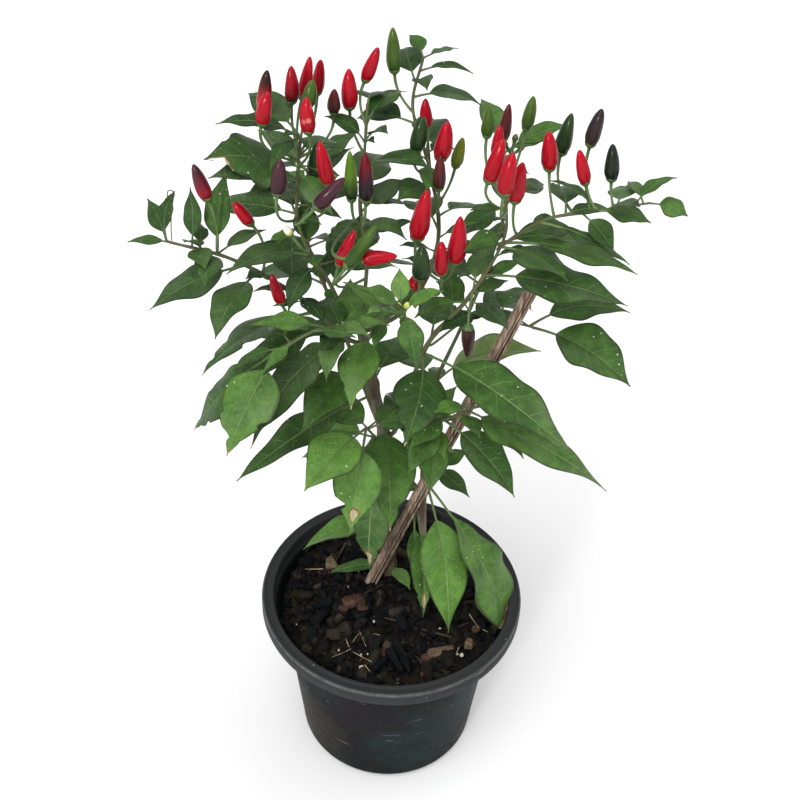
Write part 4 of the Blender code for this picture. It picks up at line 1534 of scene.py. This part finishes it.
def makeFibres():
    chance = random.Random(23)
    bm = bmesh.new()
    for index in range(mix["fibres"]):
        x, y = onBed(chance, mix["reach"] * 0.9)
        if index % 2:  # half of them lie together at the front
            x, y = x * 0.5 - 0.012, -abs(y) * 0.6 - 0.02
        turn = chance.uniform(0, 360)
        long = chance.uniform(7, 19) * mm
        start = Vector((x, y, bedHeight(x, y) + 0.0045))
        bend = direction(turn + 90, 0) * long * chance.uniform(-0.3, 0.3)
        rise = direction(turn, chance.uniform(-6, 14)) * long
        points = [start + rise * t + bend * t * t for t in (0, 0.25, 0.5, 0.75, 1)]
        thick = chance.uniform(0.2, 0.42) * mm
        sweep(bm, points, [thick, thick, thick * 0.9, thick * 0.8, thick * 0.4], 6)
    newPiece("straw_fibres", bm, strawLook(), "potting_mix")


def makeGrit():
    chance = random.Random(24)
    bm = bmesh.new()
    for index in range(mix["grit"]):
        x, y = onBed(chance, mix["reach"] * 0.95)
        size = [chance.uniform(0.5, 1.3) * mm for _ in range(3)]
        if index < 5:  # two small heaps of larger grit
            x, y = (-0.02, -0.066) if index < 3 else (0.052, -0.05)
            x += chance.uniform(-3, 3) * mm
            size = [value * 1.5 for value in size]
        place = Vector((x, y, bedHeight(x, y) + 0.004))
        put = laid(place, "X", size, chance)
        bmesh.ops.create_icosphere(bm, subdivisions=1, radius=1, matrix=put)
    newPiece("perlite_grit", bm, gritLook(), "potting_mix")


makeBed()
makeChips()
makeCrumbs()
makeFibres()
makeGrit()
print("the potting mix is laid")

# Stakes: split wood, with grooves given as (angle, half angle, depth).
stakes = {
    "stake_main": {
        "foot": (-17, 20, 133),
        "top": (81, 8, 431),
        "wide": 9.6,
        "deep": 7,
        "grooves": (
            *((-74, 7, 0.5), (-108, 5, 0.34), (-48, 4, 0.2)),
            *((95, 8, 0.35), (60, 4, 0.2), (150, 6, 0.2)),
        ),
        "light": (0.5, 0.375, 0.28),
        "dark": (0.13, 0.085, 0.058),
    },
    "stake_back": {
        "foot": (24, 60, 133),
        "top": (20, 58, 232),
        "wide": 5.5,
        "deep": 4.5,
        "grooves": ((-60, 8, 0.1), (120, 8, 0.12)),
        "light": (0.42, 0.3, 0.24),
        "dark": (0.28, 0.19, 0.15),
    },
}
stakeForm = {
    "depth": 12,  # how far a stake goes into the mix
    "side": (1, 0.2, 0),
    "sides": 48,
    "step": 0.006,
    "dirt": (0.3, 0.27, 0.23),
}


def stakeLook(name, stake, along):
    look = Look(name, {"Specular IOR Level": 0.12})
    turned = along.rotation_difference(Vector((0, 0, 1))).to_euler()
    groove = look.attribute("stakeGroove")
    long = look.moved(rotation=tuple(turned), scale=(1, 1, 0.035))
    grain = look.noise(620, 4, 0.6, long)
    broad = look.noise(150, 3, 0.5, long)
    dirt = look.noise(45, 3)
    colour = look.mix(grain.step(0.36, 0.66), stake["dark"], stake["light"])
    colour = look.mix(broad.step(0.35, 0.7) * 0.45, colour, stake["dark"])
    lines = grain.step(0.6, 0.68) * broad.step(0.5, 0.6)
    lineColour = tuple(value * 0.35 for value in stake["dark"])
    grooveShade = tuple(value * 0.16 for value in stake["dark"])
    colour = look.mix(lines * 0.6, colour, lineColour)
    # painted shade: the grooves are painted near black, for shade in the recesses
    colour = look.mix(groove.step(0.1, 0.6) * 0.92, colour, grooveShade)
    colour = look.mix(dirt.step(0.55, 0.75) * 0.35, colour, stakeForm["dirt"])
    return look.finish(colour, 0.78 + (grain - 0.5) * 0.2, look.bump(grain + broad * 0.5, 0.75, 0.0006))


def makeStake(name, stake):
    foot = Vector(stake["foot"]) * mm
    top = Vector(stake["top"]) * mm
    along = (top - foot).normalized()
    low = foot - along * stakeForm["depth"] * mm
    count = round((top - low).length / stakeForm["step"])
    points = [low.lerp(top, step / count) for step in range(count + 1)]
    half = stake["wide"] / 2 * mm
    shares = [step / count for step in range(count + 1)]
    radii = [half * (1.08 - 0.16 * t + 0.05 * noise.noise(point * 45)) for t, point in zip(shares, points)]
    radii[-1] *= 0.9
    points.append(top + along * 0.0004)
    radii.append(half * 0.72)
    side = Vector(stakeForm["side"])
    flat = stake["deep"] / stake["wide"]
    bm = bmesh.new()

    def grooveDepth(angle, share):
        depth = 0
        for place, width, deep in stake["grooves"]:
            wander = noise.noise(Vector((place, share * 6, 0))) * 5
            gap = (math.degrees(angle) - place - wander + 180) % 360 - 180
            strength = 0.75 + 0.45 * noise.noise(Vector((share * 9, place, 3)))
            depth = max(depth, deep * strength * math.exp(-((gap / width) ** 2)))
        return depth

    def split(angle, share):
        square = 1 / (abs(math.cos(angle)) ** 4 + abs(math.sin(angle)) ** 4) ** 0.25
        ragged = 0.03 * noise.noise(Vector((math.cos(angle) * 2, math.sin(angle) * 2, share * 12)))
        return square * (0.93 + ragged) * (1 - grooveDepth(angle, share)), 0

    sweep(bm, points, radii, stakeForm["sides"], None, split, side, flat)
    layer = floatLayer(bm, "stakeGroove")
    across = (side - along * side.dot(along)).normalized()
    up = along.cross(across)
    for vert in bm.verts:
        gone = vert.co - low
        spot = gone - along * gone.dot(along)
        angle = math.atan2(spot.dot(up) / flat, spot.dot(across))
        vert[layer] = min(1, grooveDepth(angle, gone.dot(along) / (top - low).length) * 3)
    newPiece(f"{name}_wood", bm, stakeLook(f"{name}Wood", stake, along), "stake_wood", (name,), 50)


for name, stake in stakes.items():
    makeStake(name, stake)
print("the stakes are set")

# Floor, light and camera
studio = {
    "floor": (0.93, 0.93, 0.93),
    "floorSize": 40,
    "world": (1.0, 1.0, 1.0),
    "worldStrength": 0.56,
    # where each soft sun stands, how wide it is in degrees and how strong
    "suns": (
        ("key", (-0.3, -0.6, 1), 50, 1.75),
        ("fill", (0.7, 0.4, 0.9), 90, 0.75),
        ("window", (-0.5, -1, 0.3), 9, 1.15),
    ),
    "camera": (0, -0.615, 0.85),
    "pitch": 39.7,
    "roll": 2.5,
    "lens": 53.55,
}


def makeStudio():
    scene = bpy.context.scene
    scene.view_settings.view_transform = "Standard"
    bm = bmesh.new()
    bmesh.ops.create_grid(bm, x_segments=1, y_segments=1, size=studio["floorSize"])
    mesh = bpy.data.meshes.new("floor")
    bm.to_mesh(mesh)
    bm.free()
    floor = bpy.data.objects.new("floor", mesh)
    scene.collection.objects.link(floor)
    look = Look("floorPaint", {"Specular IOR Level": 0.1})
    cloud = look.noise(2, 1)
    lighter = tuple(value * 1.01 for value in studio["floor"])
    mesh.materials.append(look.finish(look.mix(cloud, studio["floor"], lighter), 0.9))
    world = bpy.data.worlds.new("studio")
    world.use_nodes = True
    background = world.node_tree.nodes["Background"]
    background.inputs["Color"].default_value = (*studio["world"], 1)
    background.inputs["Strength"].default_value = studio["worldStrength"]
    scene.world = world
    for name, place, wide, power in studio["suns"]:
        lamp = bpy.data.lights.new(name, "SUN")
        lamp.angle = math.radians(wide)
        lamp.energy = power
        holder = bpy.data.objects.new(name, lamp)
        holder.location = place
        holder.rotation_euler = (-Vector(place)).to_track_quat("-Z", "Y").to_euler()
        scene.collection.objects.link(holder)
    lens = bpy.data.cameras.new("camera")
    lens.lens = studio["lens"]
    lens.clip_start = 0.01
    camera = bpy.data.objects.new("camera", lens)
    tilt = Matrix.Rotation(math.radians(90 - studio["pitch"]), 4, "X")
    roll = Matrix.Rotation(math.radians(studio["roll"]), 4, "Z")
    camera.matrix_world = Matrix.Translation(studio["camera"]) @ tilt @ roll
    scene.collection.objects.link(camera)
    scene.camera = camera


makeStudio()
print("the studio is lit")
